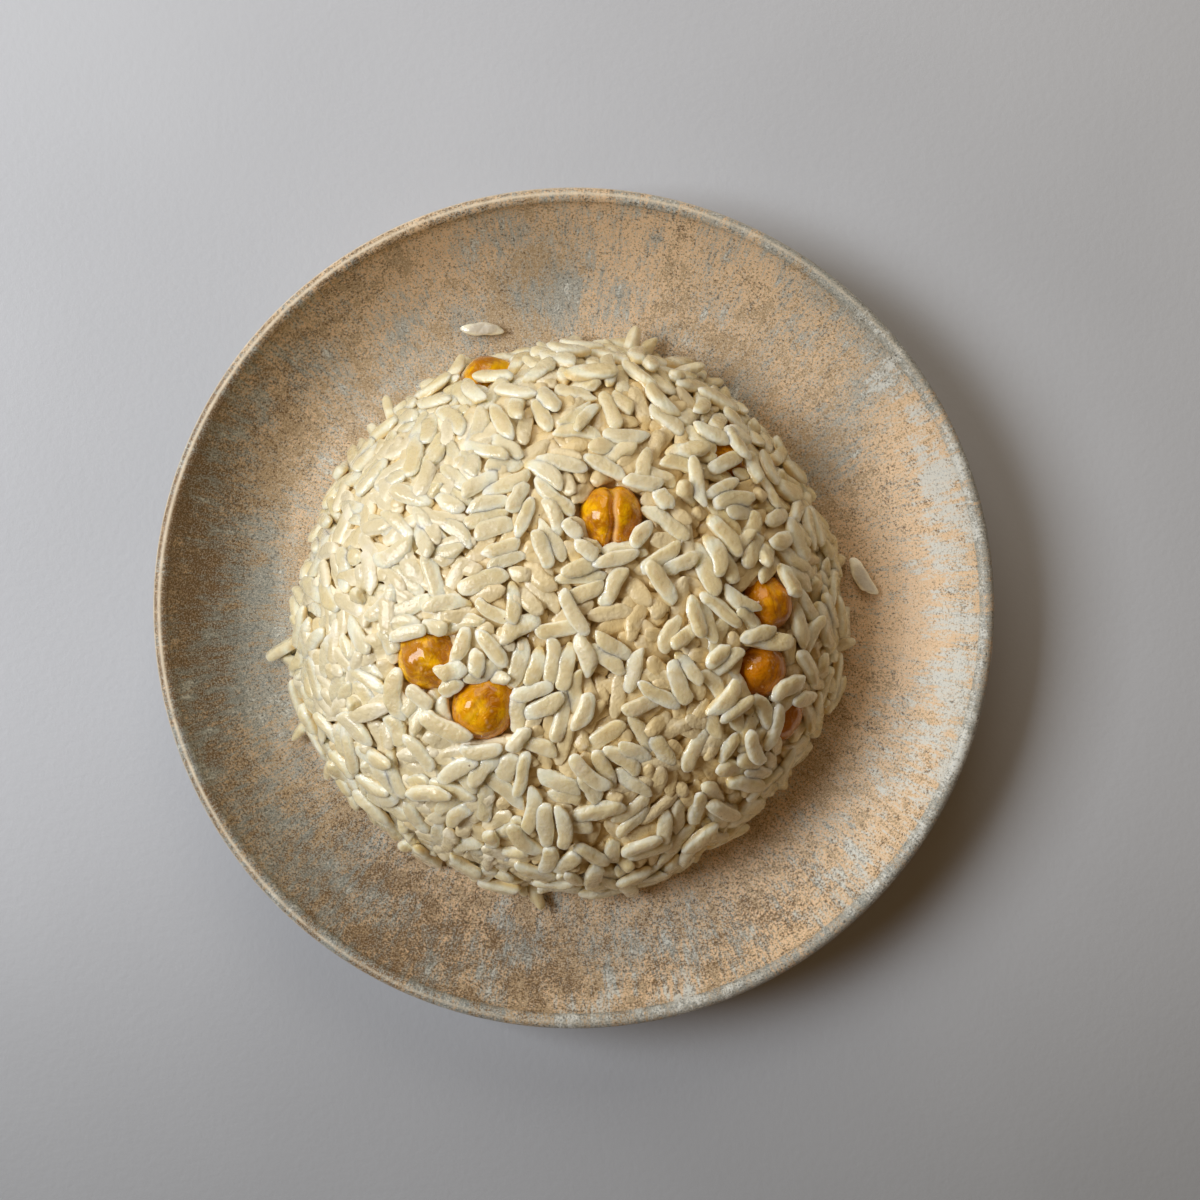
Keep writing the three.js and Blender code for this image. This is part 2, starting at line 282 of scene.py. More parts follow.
def lumps(points: np.ndarray, seed: int, size: float, waves: int = 10) -> np.ndarray:
    """Smooth uneven values of about -1 to 1 over points, with lumps of about one size.

    Args:
        points: rows of coordinates in millimetres.
        seed: which pattern.
        size: the width of a lump in millimetres.
        waves: how many waves are added up.

    Returns:
        One value for each point.
    """
    rng = np.random.default_rng(seed)
    way = unit(rng.normal(size=(waves, points.shape[1])))
    pace = 2 * math.pi / (size * rng.uniform(0.7, 1.5, waves))
    start = rng.uniform(0, 2 * math.pi, waves)
    total = np.zeros(len(points))
    for k in range(waves):
        total += np.sin(points @ way[k] * pace[k] + start[k])
    return total / math.sqrt(waves) / 1.2


def soft_step(low: float, high: float, values: np.ndarray) -> np.ndarray:
    """Rises smoothly from 0 at low to 1 at high."""
    t = np.clip((np.asarray(values) - low) / (high - low), 0, 1)
    return t * t * (3 - 2 * t)


def unit(rows: np.ndarray) -> np.ndarray:
    """Rows of vectors, each brought to a length of one."""
    return rows / np.linalg.norm(rows, axis=1)[:, None]


def lying_along(rng: np.random.Generator, out: np.ndarray, share: float) -> np.ndarray:
    """Random directions that mostly lie along a surface.

    Args:
        rng: where the draws come from.
        out: the way out of the surface, a row for each direction.
        share: how much of the steepness is taken away.

    Returns:
        A unit vector for each row.
    """
    along = rng.normal(size=out.shape)
    return unit(along - share * np.einsum("ij,ij->i", along, out)[:, None] * out)


# ---------------------------------------------------------------- finishes


@dataclass
class FinishSheet:
    """A material's nodes, with short calls for the ones that the finishes use."""

    name: str
    material: Material = field(init=False)
    shader: ShaderNode = field(init=False)

    def __post_init__(self) -> None:
        """Makes the empty material with one shader."""
        self.material = bpy.data.materials.new(self.name)
        self.material.use_nodes = True
        self.shader = self.material.node_tree.nodes["Principled BSDF"]

    def node(self, kind: str, **settings: object) -> ShaderNode:
        """Adds a node and sets what is named.

        Args:
            kind: the node's type.
            settings: its own options.

        Returns:
            The node.
        """
        made = self.material.node_tree.nodes.new(kind)
        for key, value in settings.items():
            setattr(made, key, value)
        return made

    def plug(self, source: object, target: NodeSocket) -> None:
        """Links a socket into another, or sets it to a number or a colour.

        Args:
            source: a socket, a number or a colour.
            target: the socket that takes it.
        """
        if isinstance(source, NodeSocket):
            self.material.node_tree.links.new(source, target)
        elif isinstance(source, tuple) and len(source) == 3 and target.type == "RGBA":
            target.default_value = (*source, 1.0)
        else:
            target.default_value = source

    def place(self) -> NodeSocket:
        """The point's place in the object's own frame."""
        return self.node("ShaderNodeTexCoord").outputs["Object"]

    def held(self, name: str, vector: bool = False) -> NodeSocket:
        """A value stored on the mesh."""
        return self.node("ShaderNodeAttribute", attribute_name=name).outputs["Vector" if vector else "Fac"]

    def fill(self, made: ShaderNode, **values: object) -> ShaderNode:
        """Sets or links a node's sockets; underscores in their names stand for spaces.

        Args:
            made: the node.
            values: for each socket what goes into it.

        Returns:
            The same node.
        """
        for key, value in values.items():
            self.plug(value, made.inputs[key.replace("_", " ")])
        return made

    def noise(self, where: object, scale: float, detail: float = 2.0, rough: float = 0.5,
              twist: float = 0.0) -> NodeSocket:
        """Cloudy noise from 0 to 1; scale is in clouds per metre.

        Args:
            where: the place that it is read at.
            scale: clouds per metre.
            detail: how many finer layers it has.
            rough: how strong they are.
            twist: how far it is pulled about.

        Returns:
            Its value.
        """
        made = self.node("ShaderNodeTexNoise")
        self.fill(made, Vector=where, Scale=scale, Detail=detail, Roughness=rough, Distortion=twist)
        return made.outputs["Fac"]

    def cells(self, where: object, scale: float) -> NodeSocket:
        """Distance from scattered points."""
        return self.fill(self.node("ShaderNodeTexVoronoi"), Vector=where, Scale=scale).outputs["Distance"]

    def sum(self, how: str, a: object, b: object = 0.0, clamp: bool = False) -> NodeSocket:
        """Arithmetic on two values.

        Args:
            how: the operation.
            a: the first value.
            b: the second.
            clamp: whether it stays from 0 to 1.

        Returns:
            The result.
        """
        made = self.node("ShaderNodeMath", operation=how, use_clamp=clamp)
        self.plug(a, made.inputs[0])
        self.plug(b, made.inputs[1])
        return made.outputs[0]

    def add(self, a: object, b: object) -> NodeSocket:
        """The sum of two values."""
        return self.sum("ADD", a, b)

    def times(self, a: object, b: object) -> NodeSocket:
        """The product of two values."""
        return self.sum("MULTIPLY", a, b)

    def swing(self, value: NodeSocket, size: float) -> NodeSocket:
        """Noise turned into a swing round nothing."""
        return self.times(self.sum("SUBTRACT", value, 0.5), size)

    def rise(self, value: object, low: float, high: float, start: float = 0.0, end: float = 1.0) -> NodeSocket:
        """Rises smoothly between two values.

        Args:
            value: what is read.
            low: where the rise begins.
            high: where it ends.
            start: the result before it.
            end: the result after it.

        Returns:
            The result.
        """
        made = self.node("ShaderNodeMapRange", interpolation_type="SMOOTHSTEP")
        self.fill(made, Value=value, From_Min=low, From_Max=high, To_Min=start, To_Max=end)
        return made.outputs["Result"]

    def blend(self, share: object, a: object, b: object, how: str = "MIX") -> NodeSocket:
        """Mixes two colours by a share.

        Args:
            share: how much of the second.
            a: the first colour.
            b: the second.
            how: the kind of mix.

        Returns:
            The colour.
        """
        made = self.node("ShaderNodeMix", data_type="RGBA", blend_type=how)
        for place, value in ((0, share), (6, a), (7, b)):
            self.plug(value, made.inputs[place])
        return made.outputs[2]

    def relief(self, height: object, distance: float, strength: float, over: NodeSocket | None = None) -> NodeSocket:
        """Turns a height into a bump of a distance in metres, over another one where there is one.

        Args:
            height: the height.
            distance: how high it is in metres.
            strength: how strongly it shows.
            over: the bump under it.

        Returns:
            The bumped normal.
        """
        made = self.fill(self.node("ShaderNodeBump"), Strength=strength, Distance=distance, Height=height)
        if over is not None:
            self.plug(over, made.inputs["Normal"])
        return made.outputs["Normal"]

    def finished(self, **values: object) -> Material:
        """Sets or links the shader's own sockets and gives the finished material."""
        self.fill(self.shader, **values)
        return self.material


@dataclass(frozen=True)
class CookedRice:
    """Moist cooked rice: pearly and a little see-through; painted shade makes it warmer and darker down in the heap and
    under each grain, and a painted highlight pales each grain's shoulders and ends.
    """

    name: str
    pale: Triple = (0.79, 0.70, 0.47)
    warm: Triple = (0.78, 0.66, 0.39)
    # painted shade colour: the warm dark of the gaps, the grains' undersides and the grains deep in the heap
    deep: Triple = (0.82, 0.61, 0.28)
    rim_highlight_colour: Triple = (1.0, 0.92, 0.70)
    chalky: Triple = (0.93, 0.89, 0.78)
    husk: Triple = (0.20, 0.12, 0.06)
    through: float = 0.80

    def material(self) -> Material:
        """The finished material."""
        sheet = FinishSheet(self.name)
        where = sheet.place()
        cloud = sheet.noise(where, 420.0, 3.0, 0.55)
        # partly random per grain, partly painted shade: warmer towards the right side of the heap
        tone = sheet.add(sheet.held("tone"), sheet.swing(cloud, 0.9))
        colour = sheet.blend(sheet.rise(tone, 0.15, 1.0), self.pale, self.warm)
        # painted highlight: pales each grain's shoulders and thin ends
        colour = sheet.blend(sheet.held("edge"), colour, self.rim_highlight_colour)
        # painted shade: darker and warmer deep in the heap and under each grain
        colour = sheet.blend(sheet.rise(sheet.held("deep"), 0.0, 0.95), colour, self.deep)
        belly = sheet.rise(sheet.noise(where, 240.0, 2.0, 0.5, 0.6), 0.55, 0.75, 0.0, 0.30)
        colour = sheet.blend(belly, colour, self.chalky)
        speck = sheet.sum("LESS_THAN", sheet.cells(where, 190.0), 0.045)
        rare = sheet.sum("GREATER_THAN", sheet.noise(where, 95.0, 1.0), 0.58)
        colour = sheet.blend(sheet.times(sheet.times(speck, rare), 0.75), colour, self.husk)
        fine = sheet.noise(where, 900.0, 3.0, 0.6)
        coarse = sheet.noise(where, 420.0, 2.0, 0.5)
        return sheet.finished(
            Base_Color=colour,
            Roughness=sheet.rise(sheet.noise(where, 700.0, 2.0), 0.3, 0.7, 0.20, 0.36),
            Subsurface_Weight=self.through,
            Subsurface_Scale=0.0022,
            Subsurface_Radius=(1.0, 0.94, 0.80),
            Sheen_Weight=0.18,
            Sheen_Roughness=0.30,
            Sheen_Tint=(1.0, 0.96, 0.84, 1.0),
            Coat_Weight=0.5,
            Coat_Roughness=0.05,
            Specular_IOR_Level=0.35,
            Normal=sheet.relief(coarse, 0.00050, 0.75, sheet.relief(fine, 0.00036, 0.8)),
        )


@dataclass(frozen=True)
class ChickpeaCoat:
    """Cooked chickpea: amber under a thin, moist, wrinkled coat with paler torn fibres; painted light turns some
    patches yellow and painted shade turns others brown, and each pea is lighter or darker partly by its own colour and
    partly by painted light and shade.
    """

    name: str = "chickpea_coat"
    amber: Triple = (0.68, 0.255, 0.001)
    sunny: Triple = (0.97, 0.51, 0.003)
    brown: Triple = (0.36, 0.085, 0.001)
    fibre: Triple = (0.86, 0.55, 0.26)

    def material(self) -> Material:
        """The finished material."""
        sheet = FinishSheet(self.name)
        where = sheet.place()
        cloud = sheet.noise(where, 150.0, 4.0, 0.6)
        # partly each pea's own colour, partly painted light and shade: lighter towards yellow or darker towards brown
        # by how lit it stands
        bright = sheet.held("bright")
        sunlit = sheet.rise(sheet.noise(where, 260.0, 3.0, 0.6), 0.47, 0.62, 0.0, 0.7)
        amber = sheet.blend(sheet.sum("ADD", bright, sunlit, clamp=True), self.amber, self.sunny)
        painted_shade_share = sheet.rise(bright, 0.0, -0.6, 0.0, 0.45)
        shaded = sheet.sum("MAXIMUM", sheet.rise(cloud, 0.46, 0.62, 0.0, 0.75), painted_shade_share)
        colour = sheet.blend(shaded, amber, self.brown)
        ridge = sheet.sum("ABSOLUTE", sheet.sum("SUBTRACT", sheet.noise(where, 330.0, 3.0, 0.6, 1.2), 0.5))
        thread = sheet.times(sheet.rise(ridge, 0.0, 0.035, 1.0, 0.0), sheet.rise(cloud, 0.45, 0.62))
        pale = sheet.sum("MAXIMUM", sheet.times(thread, 0.18), sheet.held("fibre"))
        colour = sheet.blend(pale, colour, self.fibre)
        wrinkle = sheet.rise(ridge, 0.0, 0.10)
        fine = sheet.noise(where, 230.0, 2.0, 0.5)
        return sheet.finished(
            Base_Color=colour,
            Roughness=sheet.rise(cloud, 0.3, 0.7, 0.16, 0.30),
            Specular_IOR_Level=0.3,
            Specular_Tint=(1.0, 0.60, 0.15, 1.0),
            Subsurface_Weight=0.15,
            Subsurface_Scale=0.002,
            Subsurface_Radius=(1.0, 0.42, 0.10),
            Coat_Weight=0.75,
            Coat_Roughness=0.02,
            Normal=sheet.relief(wrinkle, 0.00022, 0.35, sheet.relief(fine, 0.0014, 0.75)),
        )


@dataclass(frozen=True)
class StonewareGlaze:
    """Satin reactive glaze: tan and peach, peppered with brown, with blue-grey and frosty drifts; the stored drifts
    also carry painted shade on the left and lower side and painted light on the right wall, and the cream at the lip is
    partly a painted highlight.
    """

    name: str = "stoneware_glaze"
    tan: Triple = (0.46, 0.33, 0.19)
    peach: Triple = (0.78, 0.55, 0.33)
    blue: Triple = (0.26, 0.305, 0.30)
    frost: Triple = (0.68, 0.70, 0.66)
    umber: Triple = (0.19, 0.105, 0.040)
    cream: Triple = (0.86, 0.74, 0.55)

    sand: Triple = (0.92, 0.82, 0.64)
    pepper: Triple = (0.095, 0.068, 0.042)

    @staticmethod
    def drift(sheet: FinishSheet, name: str, broken: NodeSocket, low: float, high: float) -> NodeSocket:
        """A stored field of one glaze colour, broken up by clouds, streaks and grit."""
        return sheet.rise(sheet.add(sheet.held(name), broken), low, high)

    def material(self) -> Material:
        """The finished material."""
        sheet = FinishSheet(self.name)
        add, times, swing = sheet.add, sheet.times, sheet.swing
        where = sheet.place()
        flow = sheet.held("flow", vector=True)
        streak = sheet.noise(flow, 4.6, 4.0, 0.65, 0.3)
        brush = sheet.rise(sheet.noise(flow, 17.0, 2.0, 0.6), 0.38, 0.62)
        cloud = sheet.noise(where, 70.0, 4.0, 0.6, 0.3)
        island = sheet.noise(where, 150.0, 3.0, 0.55, 0.4)
        mottle = sheet.noise(where, 300.0, 4.0, 0.65)
        fleck = sheet.noise(where, 1750.0, 4.0, 0.8)
        grit = sheet.noise(where, 3300.0, 3.0, 0.7)
        sharp = sheet.rise(fleck, 0.38, 0.62)
        broad = add(add(swing(cloud, 2.3), swing(island, 1.9)), swing(streak, 2.8))
        broken = add(add(broad, swing(mottle, 1.6)), add(swing(sharp, 0.75), swing(brush, 0.35)))
        dark = add(add(swing(streak, 1.6), swing(mottle, -1.5)), add(swing(sharp, -0.8), swing(brush, 0.3)))
        cool = add(broad, add(swing(sheet.rise(grit, 0.4, 0.6), 0.85), swing(brush, 0.35)))
        blue = times(self.drift(sheet, "blue", cool, 0.38, 0.72), 0.85)
        frost = times(self.drift(sheet, "frost", broken, 0.62, 1.3), 0.9)
        colour = sheet.blend(self.drift(sheet, "peach", broken, 0.2, 0.8), self.tan, self.peach)
        colour = sheet.blend(self.drift(sheet, "umber", dark, 0.3, 0.8), colour, self.umber)
        colour = sheet.blend(frost, sheet.blend(blue, colour, self.blue), self.frost)
        pale = times(sheet.rise(grit, 0.50, 0.60), 0.85)
        colour = sheet.blend(pale, colour, sheet.blend(0.5, colour, self.sand))
        peppered = times(sheet.rise(fleck, 0.46, 0.36), sheet.rise(mottle, 0.25, 0.55, 0.45, 1.0))
        peppered = times(peppered, sheet.rise(sheet.held("frost"), 0.3, 1.0, 1.0, 0.6))
        colour = sheet.blend(peppered, colour, sheet.blend(0.85, colour, self.pepper))
        # the cream at the lip is partly thin glaze and partly a painted highlight on the side towards the lamp
        return sheet.finished(
            Base_Color=sheet.blend(sheet.held("rim"), colour, self.cream),
            Roughness=sheet.rise(add(fleck, times(grit, 0.4)), 0.4, 0.95, 0.34, 0.56),
            Specular_IOR_Level=0.35,
            Coat_Weight=0.06,
            Coat_Roughness=0.25,
            Normal=sheet.relief(fleck, 0.00014, 0.45, sheet.relief(grit, 0.00006, 0.5)),
        )


@dataclass(frozen=True)
class BareClay:
    """The unglazed foot: matt, grogged clay."""

    name: str = "bare_clay"
    clay: Triple = (0.52, 0.42, 0.31)
    grog: Triple = (0.38, 0.29, 0.20)

    def material(self) -> Material:
        """The finished material."""
        sheet = FinishSheet(self.name)
        grain = sheet.noise(sheet.place(), 900.0, 4.0, 0.7)
        return sheet.finished(
            Base_Color=sheet.blend(sheet.rise(grain, 0.35, 0.7), self.grog, self.clay),
            Roughness=sheet.rise(grain, 0.3, 0.7, 0.75, 0.92),
            Normal=sheet.relief(grain, 0.0002, 0.6),
        )


@dataclass(frozen=True)
class PaleFloor:
    """Pale grey, finely pebbled painted surface."""

    name: str = "pale_floor"
    grey: Triple = (0.555, 0.582, 0.63)
    near_shade: Triple = (0.69, 0.69, 0.68)
    right_shade: Triple = (0.985, 0.98, 0.96)

    def material(self) -> Material:
        """The finished material."""
        sheet = FinishSheet(self.name)
        where = sheet.place()
        pebble = sheet.noise(where, 520.0, 3.0, 0.6)
        broad = sheet.noise(where, 9.0, 3.0, 0.5)
        colour = sheet.blend(sheet.rise(broad, 0.3, 0.7), self.grey, tuple(c * 0.94 for c in self.grey))
        apart = sheet.node("ShaderNodeSeparateXYZ")
        sheet.plug(where, apart.inputs[0])
        # painted shade: the floor darkens towards the near side, and a little towards the right
        for axis, low, high, shade in (("Y", -0.02, -0.16, self.near_shade), ("X", -0.02, 0.16, self.right_shade)):
            share = sheet.rise(apart.outputs[axis], low, high)
            colour = sheet.blend(share, colour, sheet.blend(1.0, colour, shade, "MULTIPLY"))
        relief = sheet.relief(pebble, 0.0003, 0.25)
        return sheet.finished(Base_Color=colour, Roughness=0.5, Specular_IOR_Level=0.4, Normal=relief)


# ---------------------------------------------------------------- plate


@dataclass
class Plate:
    """The round stoneware plate, thrown with slight unevenness and glazed all over but its foot."""

    form: PlateForm = PLATE
    turns: int = 288
    ripple: float = 0.12
    ripple_width: float = 7.3
    # drifts of each colour: place x and y, reach along and across, turn in degrees, strength
    # besides the glaze's own drifts, the umber ones on the left wall and along the lower side are painted shade, and
    # the peach and frost ones on the right wall are partly painted light where it faces the lamp
    blue: tuple[Drift, ...] = (
        (-19, 70, 26, 9, 20, 0.42), (-5, 78, 16, 12, 80, 0.32), (-73, 10, 26, 9, 95, 0.55),
        (38, 54, 12, 8, 40, 0.42), (65, 47, 12, 7, 60, 0.42), (58, 30, 12, 7, 70, 0.30),
        (-58, -52, 26, 12, 130, 0.45), (0, -80, 40, 9, 0, 0.18), (-76, -14, 26, 10, 85, 0.35),
        (74, -44, 26, 9, 60, 0.25), (60, 72, 34, 4.5, -42, 0.75), (88.5, 14, 46, 3.2, 88, 0.40),
    )
    peach: tuple[Drift, ...] = (
        (-40, 66, 9, 6, 30, 0.40), (2, 70, 9, 7, 0, 0.35), (74, 4, 30, 14, 90, 0.95), (86, 0, 40, 6, 90, 0.60),
        (50, 66, 30, 10, -50, 0.18), (12, 78, 16, 11, 90, 0.60), (-28, 78, 16, 7, 15, 0.35),
        (52, -62, 26, 12, 45, 0.25), (18, -86, 8, 5, 0, 0.45), (46, -77, 8, 5, 30, 0.40),
        (-28, -76, 9, 5, 0, 0.40),
    )
    frost: tuple[Drift, ...] = (
        (84, 8, 36, 6, 90, 1.0), (75, -42, 30, 9, 60, 0.60), (76, 42, 20, 6, 118, 0.50),
        (20, -90, 36, 4, 8, 0.50),
    )
    umber: tuple[Drift, ...] = (
        (-86, 0, 50, 9, 90, 0.75), (-70, 50, 40, 7, 50, 0.45), (4, 88, 10, 4, 0, 0.20),
        (-10, -78, 40, 12, 0, 0.62), (-55, -62, 30, 16, 130, 0.76), (42, -72, 30, 8, 30, 0.44),
        (-84, 8, 60, 7, 90, 0.35),
    )

    def build(self) -> Object:
        """Turns the section into the plate, lays out its glaze and dresses it.

        Returns:
            The piece.
        """
        section, stretch = self.form.profile()
        angle = np.arange(self.turns) / self.turns * 2 * math.pi
        reach, height = section[1:-1].T
        lies_on = stretch[1:-1]
        rings = np.empty((len(reach), self.turns, 3))
        rings[:, :, 0] = reach[:, None] * np.cos(angle)
        rings[:, :, 1] = reach[:, None] * np.sin(angle)
        rings[:, :, 2] = height[:, None]
        wave = np.sin(reach * 2 * math.pi / self.ripple_width + 0.8)
        wave *= soft_step(20, 60, reach) * soft_step(92, 86, reach)
        uneven = lumps(rings.reshape(-1, 3), 3, 46.0).reshape(len(reach), -1)
        sink = self.ripple * (0.5 * wave[:, None] + 0.8 * uneven - 0.9)
        rings[:, :, 2] += sink * ((lies_on == 0).astype(float) - (lies_on == 2))[:, None]
        points = np.concatenate([rings.reshape(-1, 3), [[0, 0, section[0, 1]], [0, 0, section[-1, 1]]]])
        piece = mesh_piece("plate_ware", points, closed_rings(len(reach), self.turns))
        self.lay_glaze(piece, points, np.concatenate([np.repeat(lies_on, self.turns), [0, 4]]))
        piece.data.materials.append(StonewareGlaze().material())
        piece.data.materials.append(BareClay().material())
        middles = np.array([p.center for p in piece.data.polygons]) / MM
        apart = np.hypot(middles[:, 0], middles[:, 1])
        foot = (middles[:, 2] < 1.6) & (apart > self.form.foot_inner - 1) & (apart < self.form.foot_outer + 1)
        piece.data.polygons.foreach_set("material_index", foot.astype(np.int32))
        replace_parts(piece, "plate")
        log.info("plate_ware: %d points", len(points))
        return piece

    def lay_glaze(self, piece: Object, points: np.ndarray, stretch: np.ndarray) -> None:
        """Stores where each glaze colour lies, painted light and shade among them, the way the glaze ran, and the bare
        rim, which is partly thin glaze at the edge and partly a painted highlight on the side towards the lamp.

        Args:
            piece: the plate.
            points: its points in millimetres.
            stretch: the stretch of the section that each point lies on.
        """
        x, y = points[:, 0], points[:, 1]
        reach = np.hypot(x, y)
        heading = np.arctan2(y, x)
        facing_right, facing_lower_right, away = (
            np.clip(base + swell * np.cos(heading - math.radians(degrees)), 0, 1)
            for base, swell, degrees in ((0.6, 0.6, 20), (0.5, 0.5, -20), (0.5, 0.6, 150)))
        fields = {"peach": 0.36 + 0.12 * lumps(points, 21, 38.0), "blue": 0.20 + 0.14 * lumps(points, 22, 30.0),
                  "frost": np.zeros(len(points)), "umber": 0.04 + 0.10 * lumps(points, 23, 34.0)}
        # peach on the right inner wall and a frosty band on its lower right are partly the glaze and partly painted
        # light where the wall faces the lamp
        fields["peach"] += 0.5 * soft_step(78, 90, reach) * facing_right
        fields["frost"] += 0.22 * soft_step(82, 89, reach) * soft_step(94.4, 92.6, reach) * facing_lower_right
        for shade, values in fields.items():
            for place_x, place_y, along, across, turn, strength in getattr(self, shade):
                a = math.radians(turn)
                u = ((x - place_x) * math.cos(a) + (y - place_y) * math.sin(a)) / along
                v = (-(x - place_x) * math.sin(a) + (y - place_y) * math.cos(a)) / across
                values += strength * np.exp(-0.5 * (u * u + v * v) * 1.6)
        over_lip = stretch == 1
        half_lip = self.form.lip / 2
        lip_angle = np.arctan2(points[:, 2] - (self.form.height - half_lip), reach - (self.form.radius - half_lip))
        inner, outer = (np.exp(-(((lip_angle - math.radians(a)) / 0.22) ** 2)) * over_lip for a in (88, 28))
        # painted highlight: the cream lip bands lie only on the side towards the lamp, partly where the glaze thins at
        # the edge
        thin_glaze_and_highlight = (inner + 0.9 * outer * soft_step(0.2, 0.7, away)) * away
        fields["rim"] = np.clip(thin_glaze_and_highlight * (0.9 + 0.25 * lumps(points, 24, 3.0)), 0, 0.92)
        # painted shade: the lip browns on the upper left, where its inner face turns from the lamp
        fields["umber"] += 0.35 * over_lip * away
        fields["blue"] += 0.9 * over_lip * (1 - away)
        for name, values in fields.items():
            add_field(piece, name, values)
        add_field(piece, "flow", np.stack([np.cos(heading) * 13, np.sin(heading) * 13, reach * 0.034], 1))


# ---------------------------------------------------------------- chickpeas


@dataclass(frozen=True)
class Chickpea:
    """One chickpea in the heap, and how much of it the grains leave open to view."""

    node: str
    heading: float
    distance: float
    rise: float
    size: float
    spin: float
    split: bool = False
    open_width: float = 5.6
    open_shift: tuple[float, float] = (0.0, 0.0)
    # share of yellow or brown: partly the pea's own colour, partly painted light and shade, lighter for peas at the
    # left and top, darker for those at the right
    bright: float = 0.0
    radius: float = 6.6
    seed: int = 1

    def centre(self) -> np.ndarray:
        """Its middle."""
        slope = HEAP.slope_at(self.distance)
        around = math.radians(self.heading)
        return HEAP.point(around, slope) + HEAP.normal(around, slope) * (self.rise - self.reach())

    def reach(self) -> float:
        """How far its flesh reaches from its middle."""
        return self.radius * self.size

    def height_over(self, x: float, y: float, rest: float) -> float:
        """How high a point over the chickpea lies that keeps a distance from it.

        Args:
            x: the point's place to the right.
            y: its place upwards in the photograph.
            rest: the distance.

        Returns:
            The height, or less than any where the point is beside the chickpea.
        """
        middle, reach = self.centre(), self.reach() + rest
        off = math.hypot(x - middle[0], y - middle[1])
        return middle[2] + math.sqrt(reach * reach - off * off) if off < reach else -math.inf

    def turned(self) -> Matrix:
        """How it is turned from beak along +X and cleft up."""
        normal = HEAP.normal(math.radians(self.heading), HEAP.slope_at(self.distance))
        tilt = Vector((0, 0, 1)).rotation_difference(Vector(normal))
        return (tilt @ Quaternion((0, 0, 1), math.radians(self.spin))).to_matrix()

    def build(self, finish: Material) -> Object:
        """Makes the chickpea with its beak, cleft, dents and wrinkled coat, and puts it in its place.

        Args:
            finish: its material.

        Returns:
            The piece.
        """
        shell = bmesh.new()
        bmesh.ops.create_icosphere(shell, subdivisions=6 if self.split else 5, radius=1.0)
        way = unit(np.array([v.co[:] for v in shell.verts]))
        faces = [tuple(v.index for v in f.verts) for f in shell.faces]
        shell.free()
        beak = 0.16 * np.exp(-((1 - way[:, 0]) ** 2) / 0.05)
        deep, wide = (0.25, 0.11) if self.split else (0.06, 0.25)
        facing = np.clip(way[:, 2] + 0.2 + 0.5 * way[:, 0], 0, 1)
        bent = way[:, 1] + 0.03 * np.sin(6 * way[:, 0] + self.seed)
        groove = deep * np.exp(-((bent / wide) ** 2)) * facing
        if self.split:
            groove = groove + 0.13 * np.exp(-((1 + way[:, 0]) ** 2) / 0.10) * np.exp(-((way[:, 1] / 0.20) ** 2))
        skin = way * 6.6
        dents = 0.016 * lumps(skin, 40 + self.seed, 6.5)
        crease = np.abs(lumps(skin * (1, 1.6, 1), 60 + self.seed, 2.6, 14))
        wrinkles = -0.012 * np.exp(-((crease / 0.16) ** 2)) * soft_step(-0.4, 0.6, lumps(skin, 80 + self.seed, 7.0))
        reach = self.reach() * (1 + beak - groove + dents + wrinkles - 0.012)
        local = way * reach[:, None] * np.array([1.0, 1.02, 0.96])
        points = local @ np.array(self.turned()).T + self.centre()
        piece = mesh_piece(self.node + "_flesh", points, faces)
        edge = np.exp(-(((bent - wide * 0.75) / 0.05) ** 2)) * facing * (1.0 if self.split else 0.15)
        thread = np.exp(-((crease / 0.07) ** 2)) * soft_step(0.1, 0.9, lumps(skin, 90 + self.seed, 5.0))
        add_field(piece, "fibre", np.clip(0.85 * edge + 0.7 * thread, 0, 0.9))
        add_field(piece, "bright", np.full(len(points), self.bright))
        piece.data.materials.append(finish)
        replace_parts(piece, self.node)
        log.info("%s: %d points", piece.name, len(points))
        return piece


CHICKPEAS: tuple[Chickpea, ...] = (
    Chickpea("chickpea_north_edge", 108, 61.2, 2.6, 0.95, 20,
             open_width=4.6, open_shift=(-0.5, 1.0), bright=0.8, seed=1),
    Chickpea("chickpea_split", 66, 25.8, 0.9, 1.05, 270, split=True,
             open_width=7.0, open_shift=(0.0, -0.5), bright=0.25, seed=2),
    Chickpea("chickpea_east_upper", 4.5, 47.5, 0.6, 0.88, 100,
             open_width=5.7, open_shift=(0.2, 0.4), bright=-0.3, seed=3),
    Chickpea("chickpea_east_lower", 346.5, 46.8, 0.6, 0.88, 250,
             open_width=6.2, open_shift=(-0.4, 0.3), bright=-0.6, seed=4),
    Chickpea("chickpea_east_edge", 336.25, 56.3, 0.2, 0.9, 310,
             open_width=4.0, open_shift=(2.8, -0.8), bright=-0.6, seed=5),
    Chickpea("chickpea_west_upper", 195.25, 31.7, 0.8, 1.02, 130,
             open_width=6.6, open_shift=(0.4, 0.0), bright=0.9, seed=6),
    Chickpea("chickpea_west_lower", 227, 26.4, 1.2, 1.06, 60,
             open_width=7.2, open_shift=(0.5, 0.2), bright=0.25, seed=7),
    Chickpea("chickpea_north_east", 46.5, 55.3, -0.4, 0.9, 170,
             open_width=0.0, seed=8),
)



# ---------------------------------------------------------------- grains


class GrainKind(Enum):
    """The kinds of grain in the heap; each kind is one piece."""

    STRAIGHT = "straight"
    CURVED = "curved"
    CUT = "cut"
    BETWEEN = "between"
    LOWER = "lower"


